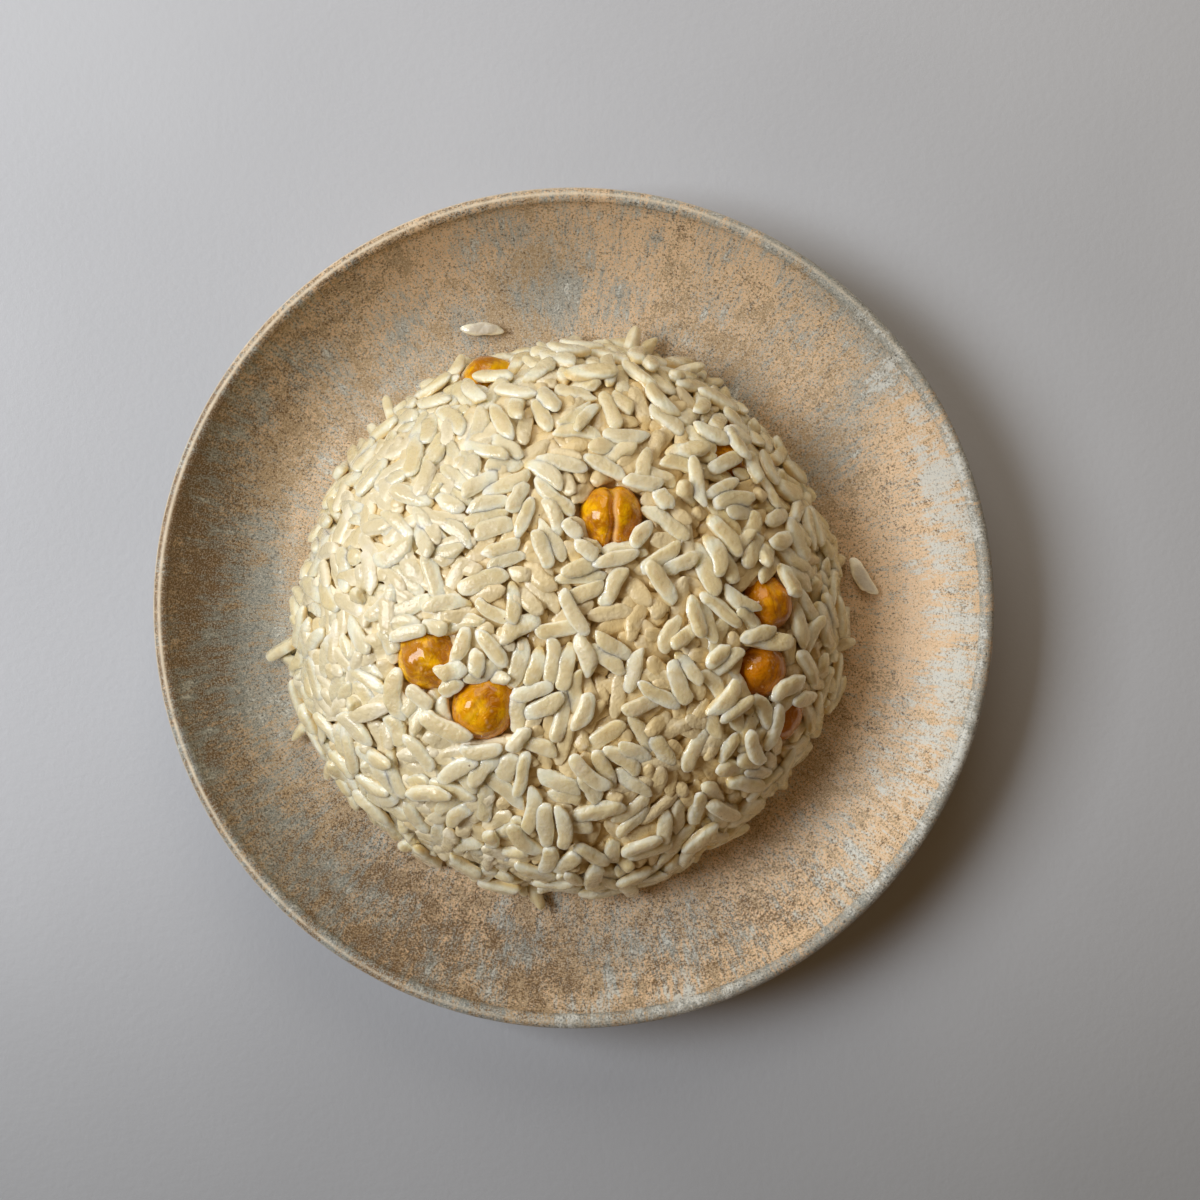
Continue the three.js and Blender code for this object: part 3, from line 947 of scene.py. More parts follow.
@dataclass
class GrainBed:
    """Grains as places, directions and sizes: one row for each."""

    centre: np.ndarray
    along: np.ndarray
    length: np.ndarray
    width: np.ndarray

    def __len__(self) -> int:
        """How many grains there are."""
        return len(self.centre)

    def chosen(self, which: np.ndarray) -> "GrainBed":
        """Only some of the grains."""
        return GrainBed(*(values[which] for values in vars(self).values()))

    def joined(self, other: "GrainBed") -> "GrainBed":
        """These grains and then the others."""
        return GrainBed(*(np.concatenate(pair) for pair in zip(vars(self).values(), vars(other).values())))


@dataclass(frozen=True)
class Bar:
    """A round bar that grains stay out of: a chickpea, or the clear view over one."""

    start: np.ndarray
    end: np.ndarray
    width: float

    def away(self, points: np.ndarray) -> tuple[np.ndarray, np.ndarray]:
        """How points lie from the bar's middle line.

        Args:
            points: rows of x, y, z.

        Returns:
            The vectors from the line to the points, and their lengths.
        """
        bar = self.end - self.start
        share = np.clip((points - self.start) @ bar / max(float(bar @ bar), TINY), 0, 1)
        away = points - (self.start + share[:, None] * bar)
        return away, np.sqrt(np.einsum("ij,ij->i", away, away)) + TINY


@dataclass
class GrainSettling:
    """Lets rigid grains, each a row of four balls, settle over the heap's core until they rest on one another."""

    count: int = 1480
    core_depth: float = 7.4
    lie_down: float = 0.03
    loose_ends: float = 0.40
    steps: int = 320
    ceiling: float = 47.45
    seed: int = 5
    length: float = 10.7
    length_spread: float = 0.10
    cut_share: float = 0.13
    ball_width: tuple[float, float, float, float] = (1.2, 1.58, 1.58, 1.2)
    ball_place: tuple[float, float, float, float] = (-1.0, -1 / 3, 1 / 3, 1.0)

    def balls(self, bed: GrainBed) -> tuple[np.ndarray, np.ndarray]:
        """The middles and radii of the balls that stand for the grains.

        Args:
            bed: the grains.

        Returns:
            The middles, four rows for each grain, and their radii.
        """
        radii = np.array(self.ball_width)[None, :] * bed.width[:, None]
        half = bed.length / 2 - radii[:, 0]
        offset = np.array(self.ball_place)[None, :] * half[:, None]
        middles = bed.centre[:, None, :] + bed.along[:, None, :] * offset[:, :, None]
        return middles.reshape(-1, 3), radii.reshape(-1)

    @staticmethod
    def near_pairs(points: np.ndarray, grain: np.ndarray, reach: float) -> tuple[np.ndarray, np.ndarray]:
        """Pairs of balls of different grains that lie nearer than a reach, found through a grid of cells.

        Args:
            points: the balls' middles.
            grain: the grain that each ball belongs to.
            reach: the distance.

        Returns:
            The first and the second ball of each pair.
        """
        cell = np.floor((points - points.min(0) + reach) / reach).astype(np.int64)
        span = cell.max(0) + 2
        key = (cell[:, 0] * span[1] + cell[:, 1]) * span[2] + cell[:, 2]
        order = np.argsort(key, kind="stable")
        sorted_key = key[order]
        steps = [(a, b, c) for a in (-1, 0, 1) for b in (-1, 0, 1) for c in (-1, 0, 1) if (a, b, c) >= (0, 0, 0)]
        first, second = [], []
        for a, b, c in steps:
            wanted = sorted_key + (a * span[1] + b) * span[2] + c
            start = np.searchsorted(sorted_key, wanted, "left")
            end = np.searchsorted(sorted_key, wanted, "right")
            if (a, b, c) == (0, 0, 0):
                start = np.arange(len(points)) + 1
            number = np.maximum(end - start, 0)
            total = int(number.sum())
            if not total:
                continue
            left = np.repeat(np.arange(len(points)), number)
            skip = np.repeat(np.cumsum(number) - number, number)
            right = np.repeat(start, number) + (np.arange(total) - skip)
            first.append(order[left])
            second.append(order[right])
        a, b = np.concatenate(first), np.concatenate(second)
        keep = grain[a] != grain[b]
        a, b = a[keep], b[keep]
        apart = points[a] - points[b]
        keep = np.einsum("ij,ij->i", apart, apart) < reach * reach
        return a[keep], b[keep]

    def scatter(self) -> GrainBed:
        """Random grains in a thick loose layer over the core, mostly lying along it.

        Returns:
            The grains.
        """
        rng = np.random.default_rng(self.seed)
        places = rng.uniform([-72, -72, HEAP.base], [72, 72, 62], (self.count * 9, 3))
        depth, _ = HEAP.depth_and_normal(places)
        places = places[(depth > -5) & (depth < self.core_depth)][: self.count]
        _, out = HEAP.depth_and_normal(places)
        along = lying_along(rng, out, 0.55)
        length = self.length * (1 + self.length_spread * rng.standard_normal(len(places)).clip(-1.6, 1.6))
        cut = rng.random(len(places)) < self.cut_share
        length[cut] = rng.uniform(6.0, 8.2, int(cut.sum()))
        width = 1 + 0.07 * rng.standard_normal(len(places)).clip(-2, 2)
        return GrainBed(places, along, length, width)

    def settle(self, held: GrainBed, peas: Sequence[Chickpea]) -> GrainBed:
        """Runs the settling.

        Args:
            held: grains laid one by one, which stay where they are.
            peas: the chickpeas, which the grains leave clear.

        Returns:
            All grains, the held ones first.
        """
        bed = held.joined(self.scatter())
        free = (np.arange(len(bed)) >= len(held)).astype(float)
        grain = np.repeat(np.arange(len(bed)), 4)
        blocks = self.blocks(peas)
        rng = np.random.default_rng(self.seed + 1)
        stray = np.repeat(2.4 * rng.random(len(bed)) ** 4, 4).reshape(-1, 4)
        stray += np.outer((rng.random(len(bed)) < self.loose_ends) * rng.uniform(0.8, 3.6, len(bed)), [0, 0.25, 0.6, 1])
        stray = stray.ravel()
        place = np.array(self.ball_place)
        for step in range(self.steps):
            share = step / self.steps
            pull = 0.12 if share < 0.5 else 0.05 if share < 0.75 else 0.0
            points, radii = self.balls(bed)
            if step % 4 == 0:
                a, b = self.near_pairs(points, grain, 4.2)
            move, times = self.push_apart(points, radii, a, b)
            for shift, hit in self.walls(points, radii, stray, blocks):
                move[hit] += shift
                times[hit] += 1
            _, out = HEAP.depth_and_normal(points)
            move = move / np.maximum(times, 1)[:, None] * 1.25 - out * pull
            move[:, 2] -= pull * 0.35
            target = (points + move).reshape(-1, 4, 3)
            along = np.einsum("k,nkj->nj", place, target)
            _, way_out = HEAP.depth_and_normal(bed.centre)
            steep = np.einsum("ij,ij->i", along, way_out)
            lean = self.lie_down * (pull > 0) * soft_step(8, 26, bed.centre[:, 2]) * steep
            along = unit(along - lean[:, None] * way_out)
            loosely = free[:, None] > 0
            bed.centre = np.where(loosely, target.mean(1), bed.centre)
            bed.along = np.where(loosely, along, bed.along)
        depth, _ = HEAP.depth_and_normal(bed.centre)
        spread = np.percentile(depth, [1, 10, 50, 90, 99]).round(1)
        log.info("settled %d grains, %d laid by hand, depths %s", len(bed), len(held), spread)
        return bed

    @staticmethod
    def blocks(peas: Sequence[Chickpea]) -> list[Bar]:
        """The chickpeas and the clear views over them.

        Args:
            peas: the chickpeas.

        Returns:
            A bar for each.
        """
        bars = []
        for pea in peas:
            centre = pea.centre()
            bars.append(Bar(centre, centre + 1e-3, pea.reach() * 0.99))
            if pea.open_width:
                start = centre + np.array([*pea.open_shift, 2.0])
                bars.append(Bar(start, start + np.array([0, 0, 14.0]), max(0.1, pea.open_width - 1.2)))
        return bars

    @staticmethod
    def push_apart(points: np.ndarray, radii: np.ndarray, a: np.ndarray,
                   b: np.ndarray) -> tuple[np.ndarray, np.ndarray]:
        """Moves that part balls that overlap.

        Args:
            points: the balls' middles.
            radii: their radii.
            a: the first ball of each pair.
            b: the second.

        Returns:
            The sum of the moves for each ball, and how many there are.
        """
        apart = points[a] - points[b]
        distance = np.sqrt(np.einsum("ij,ij->i", apart, apart)) + TINY
        over = radii[a] + radii[b] - distance
        hit = over > 0
        push = apart[hit] / distance[hit, None] * (over[hit] / 2)[:, None]
        move = np.zeros_like(points)
        for k in range(3):
            move[:, k] = np.bincount(a[hit], push[:, k], len(points)) - np.bincount(b[hit], push[:, k], len(points))
        times = np.bincount(a[hit], minlength=len(points)) + np.bincount(b[hit], minlength=len(points))
        return move, times.astype(float)

    @staticmethod
    def looseness(points: np.ndarray) -> np.ndarray:
        """How far grains may stand out of the pressed surface: little on the left, more on top and on the right.

        Args:
            points: rows of x, y, z.

        Returns:
            A distance for each.
        """
        ragged = lumps(points[:, :2], 71, 34.0)
        loose = 0.15 + 1.15 * soft_step(-34, 10, points[:, 0] + 7 * ragged) + 0.5 * soft_step(0.2, 1.0, ragged)
        foot = soft_step(26, 10, points[:, 2])
        return loose * (1 - 0.8 * foot) + foot * (0.2 + 1.6 * lumps(points, 72, 12.0))

    def walls(self, points: np.ndarray, radii: np.ndarray, stray: np.ndarray,
              blocks: Sequence[Bar]) -> list[tuple[np.ndarray, np.ndarray]]:
        """Moves that bring balls out of the core, the plate and the chickpeas, and under the ceiling.

        Args:
            points: the balls' middles.
            radii: their radii.
            stray: how much further than the rest each may stand out.
            blocks: round bars that the balls stay out of.

        Returns:
            For each wall the moves and which balls they are for.
        """
        depth, out = HEAP.depth_and_normal(points)
        up = np.array([[0.0, 0.0, 1.0]])
        inside = depth - (self.core_depth - radii)
        under = PLATE.top(np.hypot(points[:, 0], points[:, 1])) + radii + 0.1 - points[:, 2]
        outside = radii * 0.9 - self.looseness(points) - stray - depth
        above = points[:, 2] + radii - self.ceiling
        every = np.repeat(up, len(points), 0)
        walls = [(out, inside), (every, under), (-out, outside), (-every, above)]
        for bar in blocks:
            away, distance = bar.away(points)
            walls.append((away / distance[:, None], bar.width + radii - distance))
        return [(way[over > 0] * over[over > 0, None], over > 0) for way, over in walls]


@dataclass
class GrainShaper:
    """Turns grains into meshes: each its own taper, bow, cut and notch."""

    width: float = 3.65
    thickness: float = 2.7
    rings: int = 12
    sides: int = 16
    seed: int = 11
    pointed_share: float = 0.18
    round_share: float = 0.55
    end_power: Triple = (2.2, 3.4, 6.5)
    end_square: Triple = (1.4, 1.75, 2.2)
    cut_end: tuple[float, float] = (10.0, 2.6)
    cross_section: float = 2.0 / 3.1

    def shapes(self, bed: GrainBed, kind: GrainKind) -> np.ndarray:
        """Points of each grain in its own frame, along X with its flat side down.

        Args:
            bed: the grains.
            kind: the kind they are.

        Returns:
            An array of grains by points by x, y, z.
        """
        rng = np.random.default_rng(self.seed + len(kind.value))
        n = len(bed)
        t = -np.cos(math.pi * (np.arange(self.rings) + 1) / (self.rings + 1))[None, :, None]
        theta = (np.arange(self.sides) / self.sides * 2 * math.pi)[None, None, :]

        def each(low: float, high: float) -> np.ndarray:
            """One random number for each grain."""
            return rng.uniform(low, high, n)[:, None, None]

        blunt = rng.random((2, 2, n))[:, :, :, None, None]
        is_pointed, is_rounded = blunt < self.pointed_share, blunt < self.round_share
        power, square = (np.where(is_pointed, pointed, np.where(is_rounded, rounded, full))
                         for pointed, rounded, full in (self.end_power, self.end_square))
        if kind is GrainKind.CUT:
            power[:, 0], square[:, 0] = self.cut_end
        taper = [np.clip(1 - np.abs(t) ** np.where(t > 0, power[k, 0], power[k, 1]), 0, 1)
                 ** (1 / np.where(t > 0, square[k, 0], square[k, 1])) for k in (0, 1)]
        half = bed.length[:, None, None] / 2
        across, up = (np.sign(wave) * np.abs(wave) ** self.cross_section for wave in (np.cos(theta), np.sin(theta)))
        lean = (1 + across) / 2
        outline = taper[0] * lean + taper[1] * (1 - lean) * each(0.84, 1.0)
        body = 1 + 0.05 * np.sin(t * each(2.0, 4.5) + each(0, 6.3)) * np.cos(theta + each(0, 6.3))
        body = body - each(0.03, 0.12) * np.exp(-(((theta - math.pi / 2 - each(-0.6, 0.6)) / 0.38) ** 2)) * (1 - t * t)
        for waves, turns in ((3.1, 1), (5.3, 2), (7.7, 3)):
            body = body + each(-0.085, 0.085) * np.sin(t * waves + theta * turns + each(0, 6.3))
        notch = (rng.random(n) < 0.45)[:, None, None] * each(0.25, 0.55)
        body = body * (1 - notch * soft_step(0.55, 0.85, t) * np.clip(np.cos(theta - each(-0.6, 0.6)), 0, 1))
        wide = bed.width[:, None, None]
        y = across * outline * body * self.width / 2 * wide * each(0.88, 1.12)
        z = up * (taper[0] + taper[1]) / 2 * body * self.thickness / 2 * wide * each(0.88, 1.08)
        x = t * half + np.zeros_like(theta)
        slant = each(-1.0, 1.0) * (0.8 if kind is GrainKind.CUT else 0.5)
        x = x + slant * y * soft_step(0.55, 1.0, np.abs(t))
        bow = {GrainKind.CURVED: each(0.05, 0.125), GrainKind.STRAIGHT: each(-0.03, 0.04)}.get(kind, each(-0.05, 0.08))
        bend = bow * 2 * half * (1 - t * t)
        hook = each(-0.02, 0.02) * 2 * half * np.sin(math.pi * t)
        y = y + bend + hook
        z = z + each(-0.02, 0.03) * 2 * half * (1 - t * t)
        body_points = np.stack([x, y, z], -1).reshape(n, -1, 3)
        tips = np.zeros((n, 2, 3))
        tips[:, 0, 0], tips[:, 1, 0] = -half[:, 0, 0], half[:, 0, 0]
        return np.concatenate([body_points, tips], 1)

    @staticmethod
    def soften(piece: Object, share: float = 0.44) -> None:
        """Leans the shading of the grains towards the heap's, as light that passes through them does.

        Args:
            piece: the grains.
            share: how far it leans.
        """
        mesh = piece.data
        normals = np.empty(len(mesh.vertices) * 3)
        mesh.vertex_normals.foreach_get("vector", normals)
        points = np.empty(len(mesh.vertices) * 3)
        mesh.vertices.foreach_get("co", points)
        _, out = HEAP.depth_and_normal(points.reshape(-1, 3) / MM)
        leaned = normals.reshape(-1, 3) * (1 - share) + out * share
        leaned /= np.linalg.norm(leaned, axis=1)[:, None] + TINY
        mesh.normals_split_custom_set_from_vertices(leaned.tolist())

    def ends(self) -> np.ndarray:
        """How near each point of a grain lies to its thin ends, which a painted highlight makes paler."""
        t = np.abs(np.cos(math.pi * (np.arange(self.rings) + 1) / (self.rings + 1)))
        return 0.7 * np.concatenate([np.repeat(soft_step(0.86, 1.0, t), self.sides), [1.0, 1.0]])

    def faces(self) -> np.ndarray:
        """Triangles of one grain, as rows of three points.

        Returns:
            The rows.
        """
        rows = []
        for first, *rest in closed_rings(self.rings, self.sides):
            rest.reverse()
            rows.extend((first, b, c) for b, c in zip(rest, rest[1:]))
        return np.array(rows)

    def build(self, name: str, bed: GrainBed, kind: GrainKind, finish: Material, roll: float = 32.0,
              on_plate: bool = False) -> Object:
        """Makes one mesh of all grains of a kind.

        Args:
            name: the piece's name.
            bed: the grains.
            kind: their kind.
            finish: their material.
            roll: how far, in degrees, a grain may roll from lying flat on the heap.
            on_plate: whether the grains lie flat on the plate, apart from the heap.

        Returns:
            The piece.
        """
        rng = np.random.default_rng(self.seed + 7 * len(kind.value) + len(bed))
        local = self.shapes(bed, kind)
        depth, out = HEAP.depth_and_normal(bed.centre)
        if on_plate:
            out = np.tile([0.0, 0.0, 1.0], (len(bed), 1))
        side = np.cross(out, bed.along)
        size = np.linalg.norm(side, axis=1)
        other = np.cross(bed.along, [0.3, 0.5, 0.8])
        side = np.where(size[:, None] > 0.05, side / np.maximum(size, 1e-6)[:, None], other)
        side = unit(side) * np.where(rng.random(len(bed)) < 0.5, -1, 1)[:, None]
        back = np.cross(bed.along, side)
        turn = np.radians(rng.normal(0, roll / 2, len(bed)))[:, None]
        side, back = side * np.cos(turn) + back * np.sin(turn), back * np.cos(turn) - side * np.sin(turn)
        axes = np.stack([bed.along, side, back], 1)
        middle = local.mean(1, keepdims=True) * np.array([0, 0.75, 0.75])
        points = np.einsum("npk,nkj->npj", local - middle, axes) + bed.centre[:, None, :]
        each = local.shape[1]
        faces = (self.faces()[None] + (np.arange(len(bed)) * each)[:, None, None]).reshape(-1, 3)
        piece = mesh_piece(name, points.reshape(-1, 3), faces)
        if not on_plate:
            self.soften(piece)
        # painted shade: a random share for each grain, plus a warmer share towards the right, the side away from the
        # lamp
        tone = rng.random(len(bed)) + 0.35 * soft_step(5, 50, bed.centre[:, 0])
        add_field(piece, "tone", np.repeat(tone, each))
        lift = np.einsum("npj,nj->np", points - bed.centre[:, None, :], out) / (self.thickness / 2)
        # painted shade: grains darken towards the deep colour deeper in the heap and on their undersides
        sunk = np.repeat(soft_step(2.8, 6.0, depth + GrainSettling.looseness(bed.centre)), each)
        under = (0.2 if on_plate else 0.85) * soft_step(0.15, -0.75, lift).ravel()
        add_field(piece, "deep", np.clip(0.6 * sunk + under, 0, 1))
        # painted highlight: each grain's shoulders and thin ends pale towards the highlight colour, less so deeper in
        # the heap
        painted_rim_highlight = (soft_step(-0.25, 0.2, lift) * soft_step(0.92, 0.55, lift)).ravel()
        add_field(piece, "edge", np.clip(painted_rim_highlight + np.tile(self.ends(), len(bed)), 0, 1) * (1 - 0.6 * sunk))
        piece.data.materials.append(finish)
        log.info("%s: %d grains, %d triangles", name, len(bed), len(faces))
        return piece


@dataclass
class RiceHeap:
    """The heap: its core, the grains listed one by one beside the chickpeas, and all that settle round them."""

    settling: GrainSettling = field(default_factory=GrainSettling)
    shaper: GrainShaper = field(default_factory=GrainShaper)
    core_sink: tuple[float, float] = (4.3, 6.0)
    beside_chickpeas: tuple[tuple[float, float, float, float], ...] = (
        (-22.7, 52.2, -13.2, 51.6), (-17.3, 48.6, -7.8, 47.0), (10.7, 27.6, 19.5, 26.6), (17.7, 25.4, 21.6, 21.4),
        (12.8, 13.1, 16.8, 18.8), (4.1, 9.2, 14.4, 11.9), (0.4, 14.4, 5.4, 10.8), (-2.1, 18.6, 2.1, 15.2),
        (32.5, 4.9, 40.6, -0.9), (27.3, 3.0, 36.1, -3.2), (36.1, -6.9, 44.3, -4.2), (28.7, -12.1, 34.0, -8.1),
        (43.6, -18.8, 50.6, -16.2), (39.8, -18.8, 43.0, -26.4), (49.6, -9.3, 54.4, -16.6), (45.4, 9.9, 49.0, 2.6),
        (-39.5, -6.4, -31.4, -4.3), (-25.0, -11.6, -22.1, -4.0), (-29.0, -14.3, -22.8, -12.2),
        (-28.3, -18.1, -23.4, -15.6), (-20.6, -14.6, -20.4, -8.4), (-20.5, -4.5, -13.9, -12.4),
        (-35.6, -17.0, -30.2, -21.3), (-13.2, -30.8, -9.7, -25.3), (-24.4, -30.6, -14.9, -30.3),
        (26.3, 40.4, 34.9, 36.8), (29.4, 30.4, 37.3, 33.3), (28.5, 23.8, 36.2, 28.4), (38.3, 34.4, 41.6, 28.0),
        (34.5, 40.6, 39.3, 36.4), (42.4, 35.6, 45.4, 27.6),
    )
    at_the_foot: tuple[tuple[float, float, float, float, float, float], ...] = (
        (-66.2, -9.0, 207, -6, 1.6, 12.0), (-62.6, -27.2, 229, -8, 0.6, 10.0), (-56.2, -35.2, 250, -4, 0.5, 10.4),
        (-42.6, 44.8, 105, 4, 3.0, 9.0), (9.6, 58.6, 128, 5, 2.4, 9.4), (12.6, 60.0, 66, 9, 3.2, 10.6),
        (15.6, 58.4, 52, 3, 1.8, 11.2), (43.2, 39.6, -26, -3, 2.0, 8.0), (59.8, 1.8, 76, 0, 1.0, 8.6),
        (-9.6, -65.2, 290, -6, 0.6, 10.2),
    )

    def laid_by_hand(self) -> GrainBed:
        """The grains that rest on chickpeas or stick out at the foot, set down on what carries them.

        Returns:
            The grains.
        """
        centre, along, length = [], [], []
        rest, highest = 1.25, self.settling.ceiling - 1.6
        for x0, y0, x1, y1 in self.beside_chickpeas:
            ends = np.array([(x0, y0, 0.0), (x1, y1, 0.0)])
            for end in ends:
                carried = max(pea.height_over(end[0], end[1], rest) for pea in CHICKPEAS)
                end[2] = min(max(float(HEAP.top(end[0], end[1])) - 1.2, carried), highest)
            spots = [ends[0] + (ends[1] - ends[0]) * share for share in (0.2, 0.35, 0.5, 0.65, 0.8)]
            lift = max(0.0, *(pea.height_over(x, y, rest) - z for pea in CHICKPEAS for x, y, z in spots))
            ends[:, 2] += np.minimum(lift, highest - ends[:, 2])
            way = ends[1] - ends[0]
            centre.append((ends[0] + ends[1]) / 2)
            length.append(min(float(np.linalg.norm(way)), 11.6))
            along.append(way / np.linalg.norm(way))
        for x, y, heading, pitch, rise, size in self.at_the_foot:
            a, b = math.radians(heading), math.radians(pitch)
            way = np.array([math.cos(a) * math.cos(b), math.sin(a) * math.cos(b), math.sin(b)])
            tip = np.array([x, y, 0]) + way * size / 2
            middle_floor, tip_floor = (float(PLATE.top(math.hypot(*spot))) for spot in ((x, y), tip[:2]))
            floor = max(middle_floor, tip_floor - way[2] * size / 2)
            centre.append(np.array([x, y, floor + rise + 1.6]))
            along.append(way)
            length.append(size)
        return GrainBed(np.array(centre), np.array(along), np.array(length), np.ones(len(centre)))

    def build_core(self, finish: Material) -> Object:
        """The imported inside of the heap, lumpy with the grains it is made of.

        Args:
            finish: its material.

        Returns:
            The piece.
        """
        turns, rings = 200, 80
        rows = [HEAP.point(2 * math.pi * i / turns, k / rings * math.pi / 2)
                for k in range(1, rings + 1) for i in range(turns)]
        points = np.array(rows + [HEAP.point(0, 0), np.array([HEAP.x, HEAP.y, HEAP.base])])
        _, out = HEAP.depth_and_normal(points)
        sink = self.core_sink[0] + (self.core_sink[1] - self.core_sink[0]) * soft_step(-34, 12, points[:, 0])
        sink += 0.5 * lumps(points, 31, 5.0, 16) + 0.35 * lumps(points, 32, 3.4, 16)
        for pea in CHICKPEAS:
            away = np.linalg.norm(points - pea.centre(), axis=1)
            sink += (7.4 - sink).clip(0) * soft_step(pea.reach() + 4.5, pea.reach() + 1.0, away)
        points[:-1] -= out[:-1] * sink[:-1, None]
        for pea in CHICKPEAS:
            away = points - pea.centre()
            distance = np.linalg.norm(away, axis=1)
            hit = distance < pea.reach() * 1.05
            points[hit] = pea.centre() + away[hit] / distance[hit, None] * pea.reach() * 0.8
        points[:, 2] = np.maximum(points[:, 2], HEAP.base)
        piece = mesh_piece("heap_core", points, closed_rings(rings, turns))
        add_field(piece, "tone", np.full(len(points), 0.6))
        # painted shade: the core darkens where it sinks deeper under the grains
        add_field(piece, "deep", soft_step(0.6, 4.6, sink))
        add_field(piece, "edge", np.zeros(len(points)))
        piece.data.materials.append(finish)
        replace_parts(piece, "rice_heap")
        return piece

    def between(self, count: int = 760) -> GrainBed:
        """The next grains down, that show in the gaps of the top ones: spread evenly, lying along the heap.

        Args:
            count: how many are spread, before those too near a chickpea or the plate are left out.

        Returns:
            The grains.
        """
        rng = np.random.default_rng(29)
        k = np.arange(count) + 0.5
        heading = k * math.pi * (3 - math.sqrt(5)) + rng.normal(0, 0.02, count)
        rise = 1 - k / count * 0.97
        slope = np.arccos(rise**1.05)
        points = np.array([HEAP.point(float(a), float(b)) for a, b in zip(heading, slope)])
        points += rng.normal(0, 0.7, (count, 3))
        _, out = HEAP.depth_and_normal(points)
        sink = rng.uniform(-0.4, 0.4, count) + 3.1 + 1.5 * soft_step(-38, 5, points[:, 0])
        points = points - out * sink[:, None]
        along = lying_along(rng, out, 0.9)
        bed = GrainBed(points, along, rng.uniform(8.0, 11.0, count), rng.uniform(0.9, 1.1, count))
        clear = PLATE.top(np.hypot(points[:, 0], points[:, 1])) + 1.6 < points[:, 2]
        for bar in self.settling.blocks(CHICKPEAS):
            for reach in (-0.42, 0.0, 0.42):
                clear &= bar.away(bed.centre + bed.along * (bed.length * reach)[:, None])[1] > bar.width + 0.7
        return bed.chosen(clear)

    def sort_kinds(self, bed: GrainBed, held: int) -> dict[GrainKind, np.ndarray]:
        """Shares the grains among the kinds.

        Args:
            bed: the grains.
            held: how many of the first were laid one by one.

        Returns:
            For each kind, which grains are of it.
        """
        rng = np.random.default_rng(17)
        depth, _ = HEAP.depth_and_normal(bed.centre)
        draw = rng.random(len(bed))
        short = (bed.length < 7.8) & (np.arange(len(bed)) >= held)
        between = (depth > 3.3) & (np.arange(len(bed)) >= held)
        kinds = {
            GrainKind.BETWEEN: between,
            GrainKind.CUT: ~between & (short | (draw < 0.10)),
        }
        rest = ~between & ~kinds[GrainKind.CUT]
        kinds[GrainKind.CURVED] = rest & (draw > 0.62)
        kinds[GrainKind.STRAIGHT] = rest & (draw <= 0.62)
        return kinds

    def build(self) -> list[Object]:
        """Makes the whole heap.

        Returns:
            Its pieces.
        """
        finish = CookedRice("cooked_rice_finish").material()
        inner = CookedRice("inner_rice_finish", through=0.0).material()
        held = self.laid_by_hand()
        bed = self.settling.settle(held, CHICKPEAS)
        depth, _ = HEAP.depth_and_normal(bed.centre)
        bed = bed.chosen(((depth > -3.6) & (depth < 6.4)) | (np.arange(len(bed)) < len(held)))
        pieces = [self.build_core(inner)]
        parts = {kind: bed.chosen(chosen) for kind, chosen in self.sort_kinds(bed, len(held)).items()}
        parts[GrainKind.LOWER] = self.between()
        for kind, part in parts.items():
            shaper, look = self.shaper, finish
            if kind in (GrainKind.BETWEEN, GrainKind.LOWER):
                shaper, look = GrainShaper(rings=9, sides=10), inner
            pieces.append(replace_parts(shaper.build("heap_grains_" + kind.value, part, kind, look), "rice_heap"))
        return pieces


@dataclass(frozen=True)
class LooseGrain:
    """A grain that lies by itself on the plate."""

    node: str
    x: float
    y: float
    heading: float
    length: float
    kind: GrainKind

    def build(self, finish: Material) -> Object:
        """Makes the grain, finely, where its solid lies.

        Args:
            finish: its material.

        Returns:
            The piece.
        """
        low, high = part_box(self.node)
        middle = np.array([(a + b) / 2 / MM for a, b in zip(low, high)])
        a = math.radians(self.heading)
        along = np.array([[math.cos(a), math.sin(a), 0.0]])
        bed = GrainBed(middle[None], along, np.array([self.length * 0.985]), np.ones(1))
        piece = GrainShaper(width=3.3, thickness=2.6, rings=24, sides=24, seed=len(self.node)).build(
            self.node + "_flesh", bed, self.kind, finish, roll=0.0, on_plate=True)
        points = np.array([v.co[:] for v in piece.data.vertices])
        points[:, 2] += low[2] - points[:, 2].min() - 0.0002
        piece.data.vertices.foreach_set("co", points.ravel())
        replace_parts(piece, self.node)
        return piece


# ---------------------------------------------------------------- room


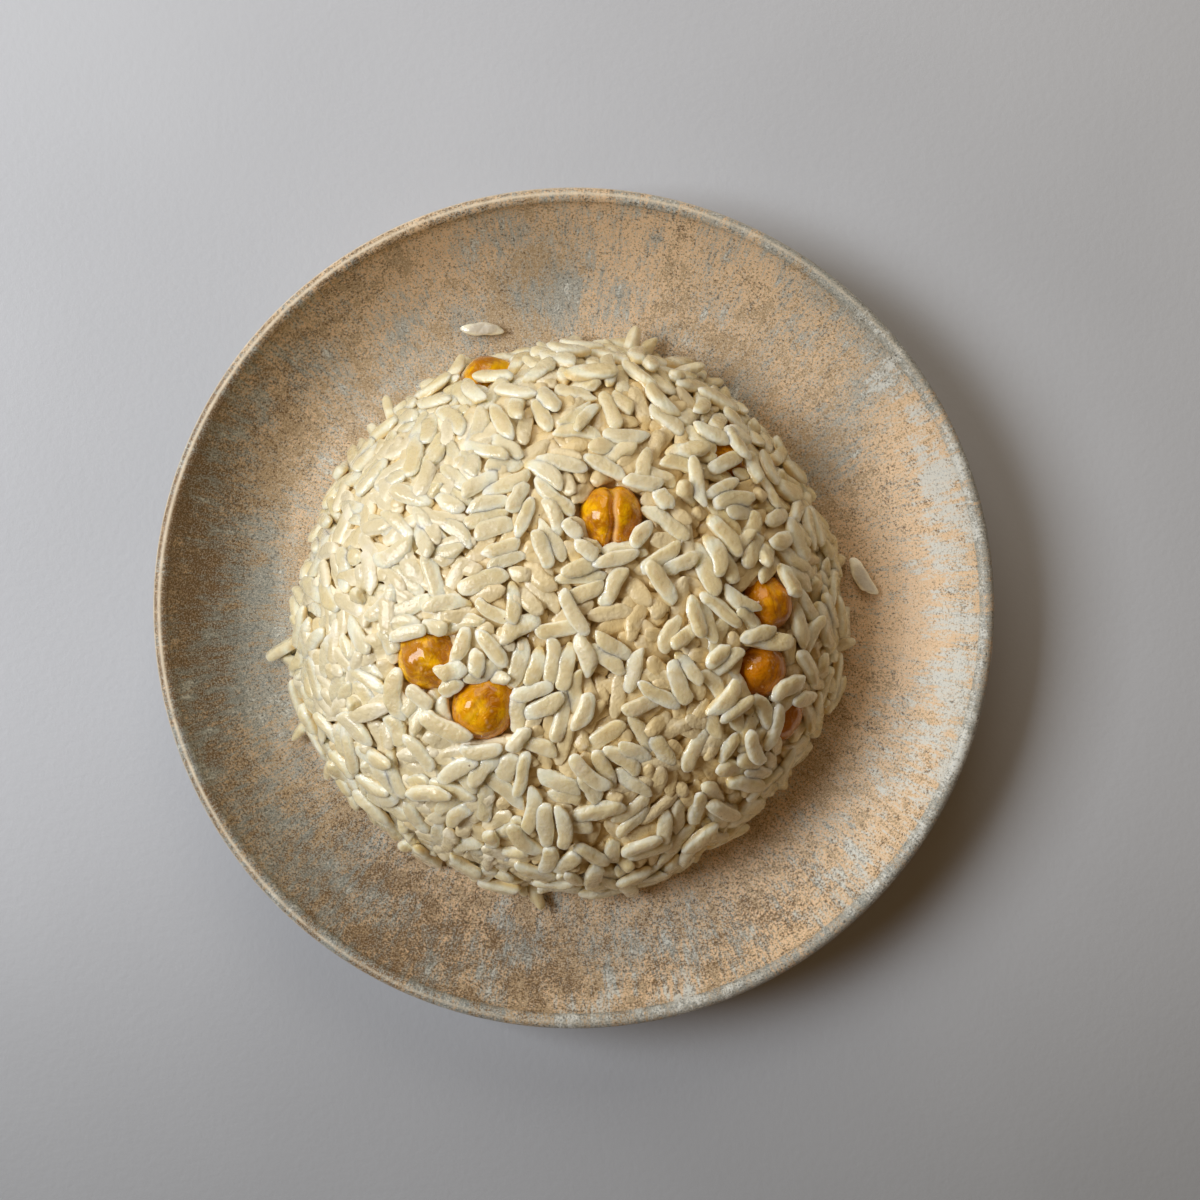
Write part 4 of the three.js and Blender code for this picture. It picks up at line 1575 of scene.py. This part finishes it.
@dataclass(frozen=True)
class Studio:
    """Camera, floor and daylight."""

    camera_place: Triple = (0.0059, 0.0018, 0.424)
    lens: float = 53.45
    window_place: Triple = (-0.76, 0.12, 0.79)
    window_size: float = 0.52
    window_power: float = 9.7
    skylight_place: Triple = (-0.10, 0.60, 0.44)
    skylight_size: float = 0.5
    skylight_power: float = 1.8
    window_colour: Triple = (0.94, 0.97, 1.0)
    skylight_colour: Triple = (1.0, 0.94, 0.84)
    room_colour: Triple = (1.0, 0.60, 0.27)
    room_strength: float = 0.12

    def build(self) -> None:
        """Sets up the whole room."""
        scene = bpy.context.scene
        camera = bpy.data.cameras.new("overhead_camera")
        camera.lens = self.lens
        camera.sensor_width = 36.0
        camera.clip_start = 0.01
        holder = bpy.data.objects.new("overhead_camera", camera)
        holder.location = self.camera_place
        scene.collection.objects.link(holder)
        scene.camera = holder
        self.build_floor()
        self.build_light("window", self.window_place, self.window_size, self.window_power, self.window_colour)
        self.build_light("skylight", self.skylight_place, self.skylight_size, self.skylight_power, self.skylight_colour)
        world = bpy.data.worlds.new("room")
        world.use_nodes = True
        world.node_tree.nodes["Background"].inputs["Color"].default_value = (*self.room_colour, 1)
        world.node_tree.nodes["Background"].inputs["Strength"].default_value = self.room_strength
        scene.world = world
        scene.view_settings.view_transform = "Standard"

    def build_light(self, name: str, place: Triple, size: float, power: float,
                    colour: Triple) -> None:
        """Adds a square soft light that faces the plate.

        Args:
            name: its name.
            place: where it hangs, in metres.
            size: its width in metres.
            power: its power in watts.
            colour: its colour.
        """
        light = bpy.data.lights.new(name, "AREA")
        light.shape = "SQUARE"
        light.size = size
        light.energy = power
        light.color = colour
        lamp = bpy.data.objects.new(name, light)
        lamp.location = place
        lamp.rotation_mode = "QUATERNION"
        lamp.rotation_quaternion = (Vector((0, 0, 0.02)) - Vector(place)).to_track_quat("-Z", "Y")
        bpy.context.scene.collection.objects.link(lamp)

    def build_floor(self) -> None:
        """The pale floor that the plate stands on."""
        half = 900.0
        points = np.array([(-half, -half, 0), (half, -half, 0), (half, half, 0), (-half, half, 0)], dtype=float)
        mesh = bpy.data.meshes.new("floor")
        mesh.from_pydata((points * MM).tolist(), [], [(0, 1, 2, 3)])
        floor = bpy.data.objects.new("floor", mesh)
        bpy.context.scene.collection.objects.link(floor)
        mesh.materials.append(PaleFloor().material())


def main() -> None:
    """Builds the room, the plate and the food."""
    logging.basicConfig(level=logging.INFO, format="%(name)s: %(message)s", stream=sys.stdout)
    Studio().build()
    Plate().build()
    coat = ChickpeaCoat().material()
    for pea in CHICKPEAS:
        pea.build(coat)
    RiceHeap().build()
    wet = CookedRice("loose_rice_finish", pale=(0.68, 0.64, 0.55), warm=(0.62, 0.56, 0.44), through=0.55).material()
    LooseGrain("loose_grain_north", -21.6, 64.2, -3, 10.5, GrainKind.STRAIGHT).build(wet)
    LooseGrain("loose_grain_east", 67.0, 7.3, -65, 9.6, GrainKind.CUT).build(wet)


if __name__ == "__main__":
    main()
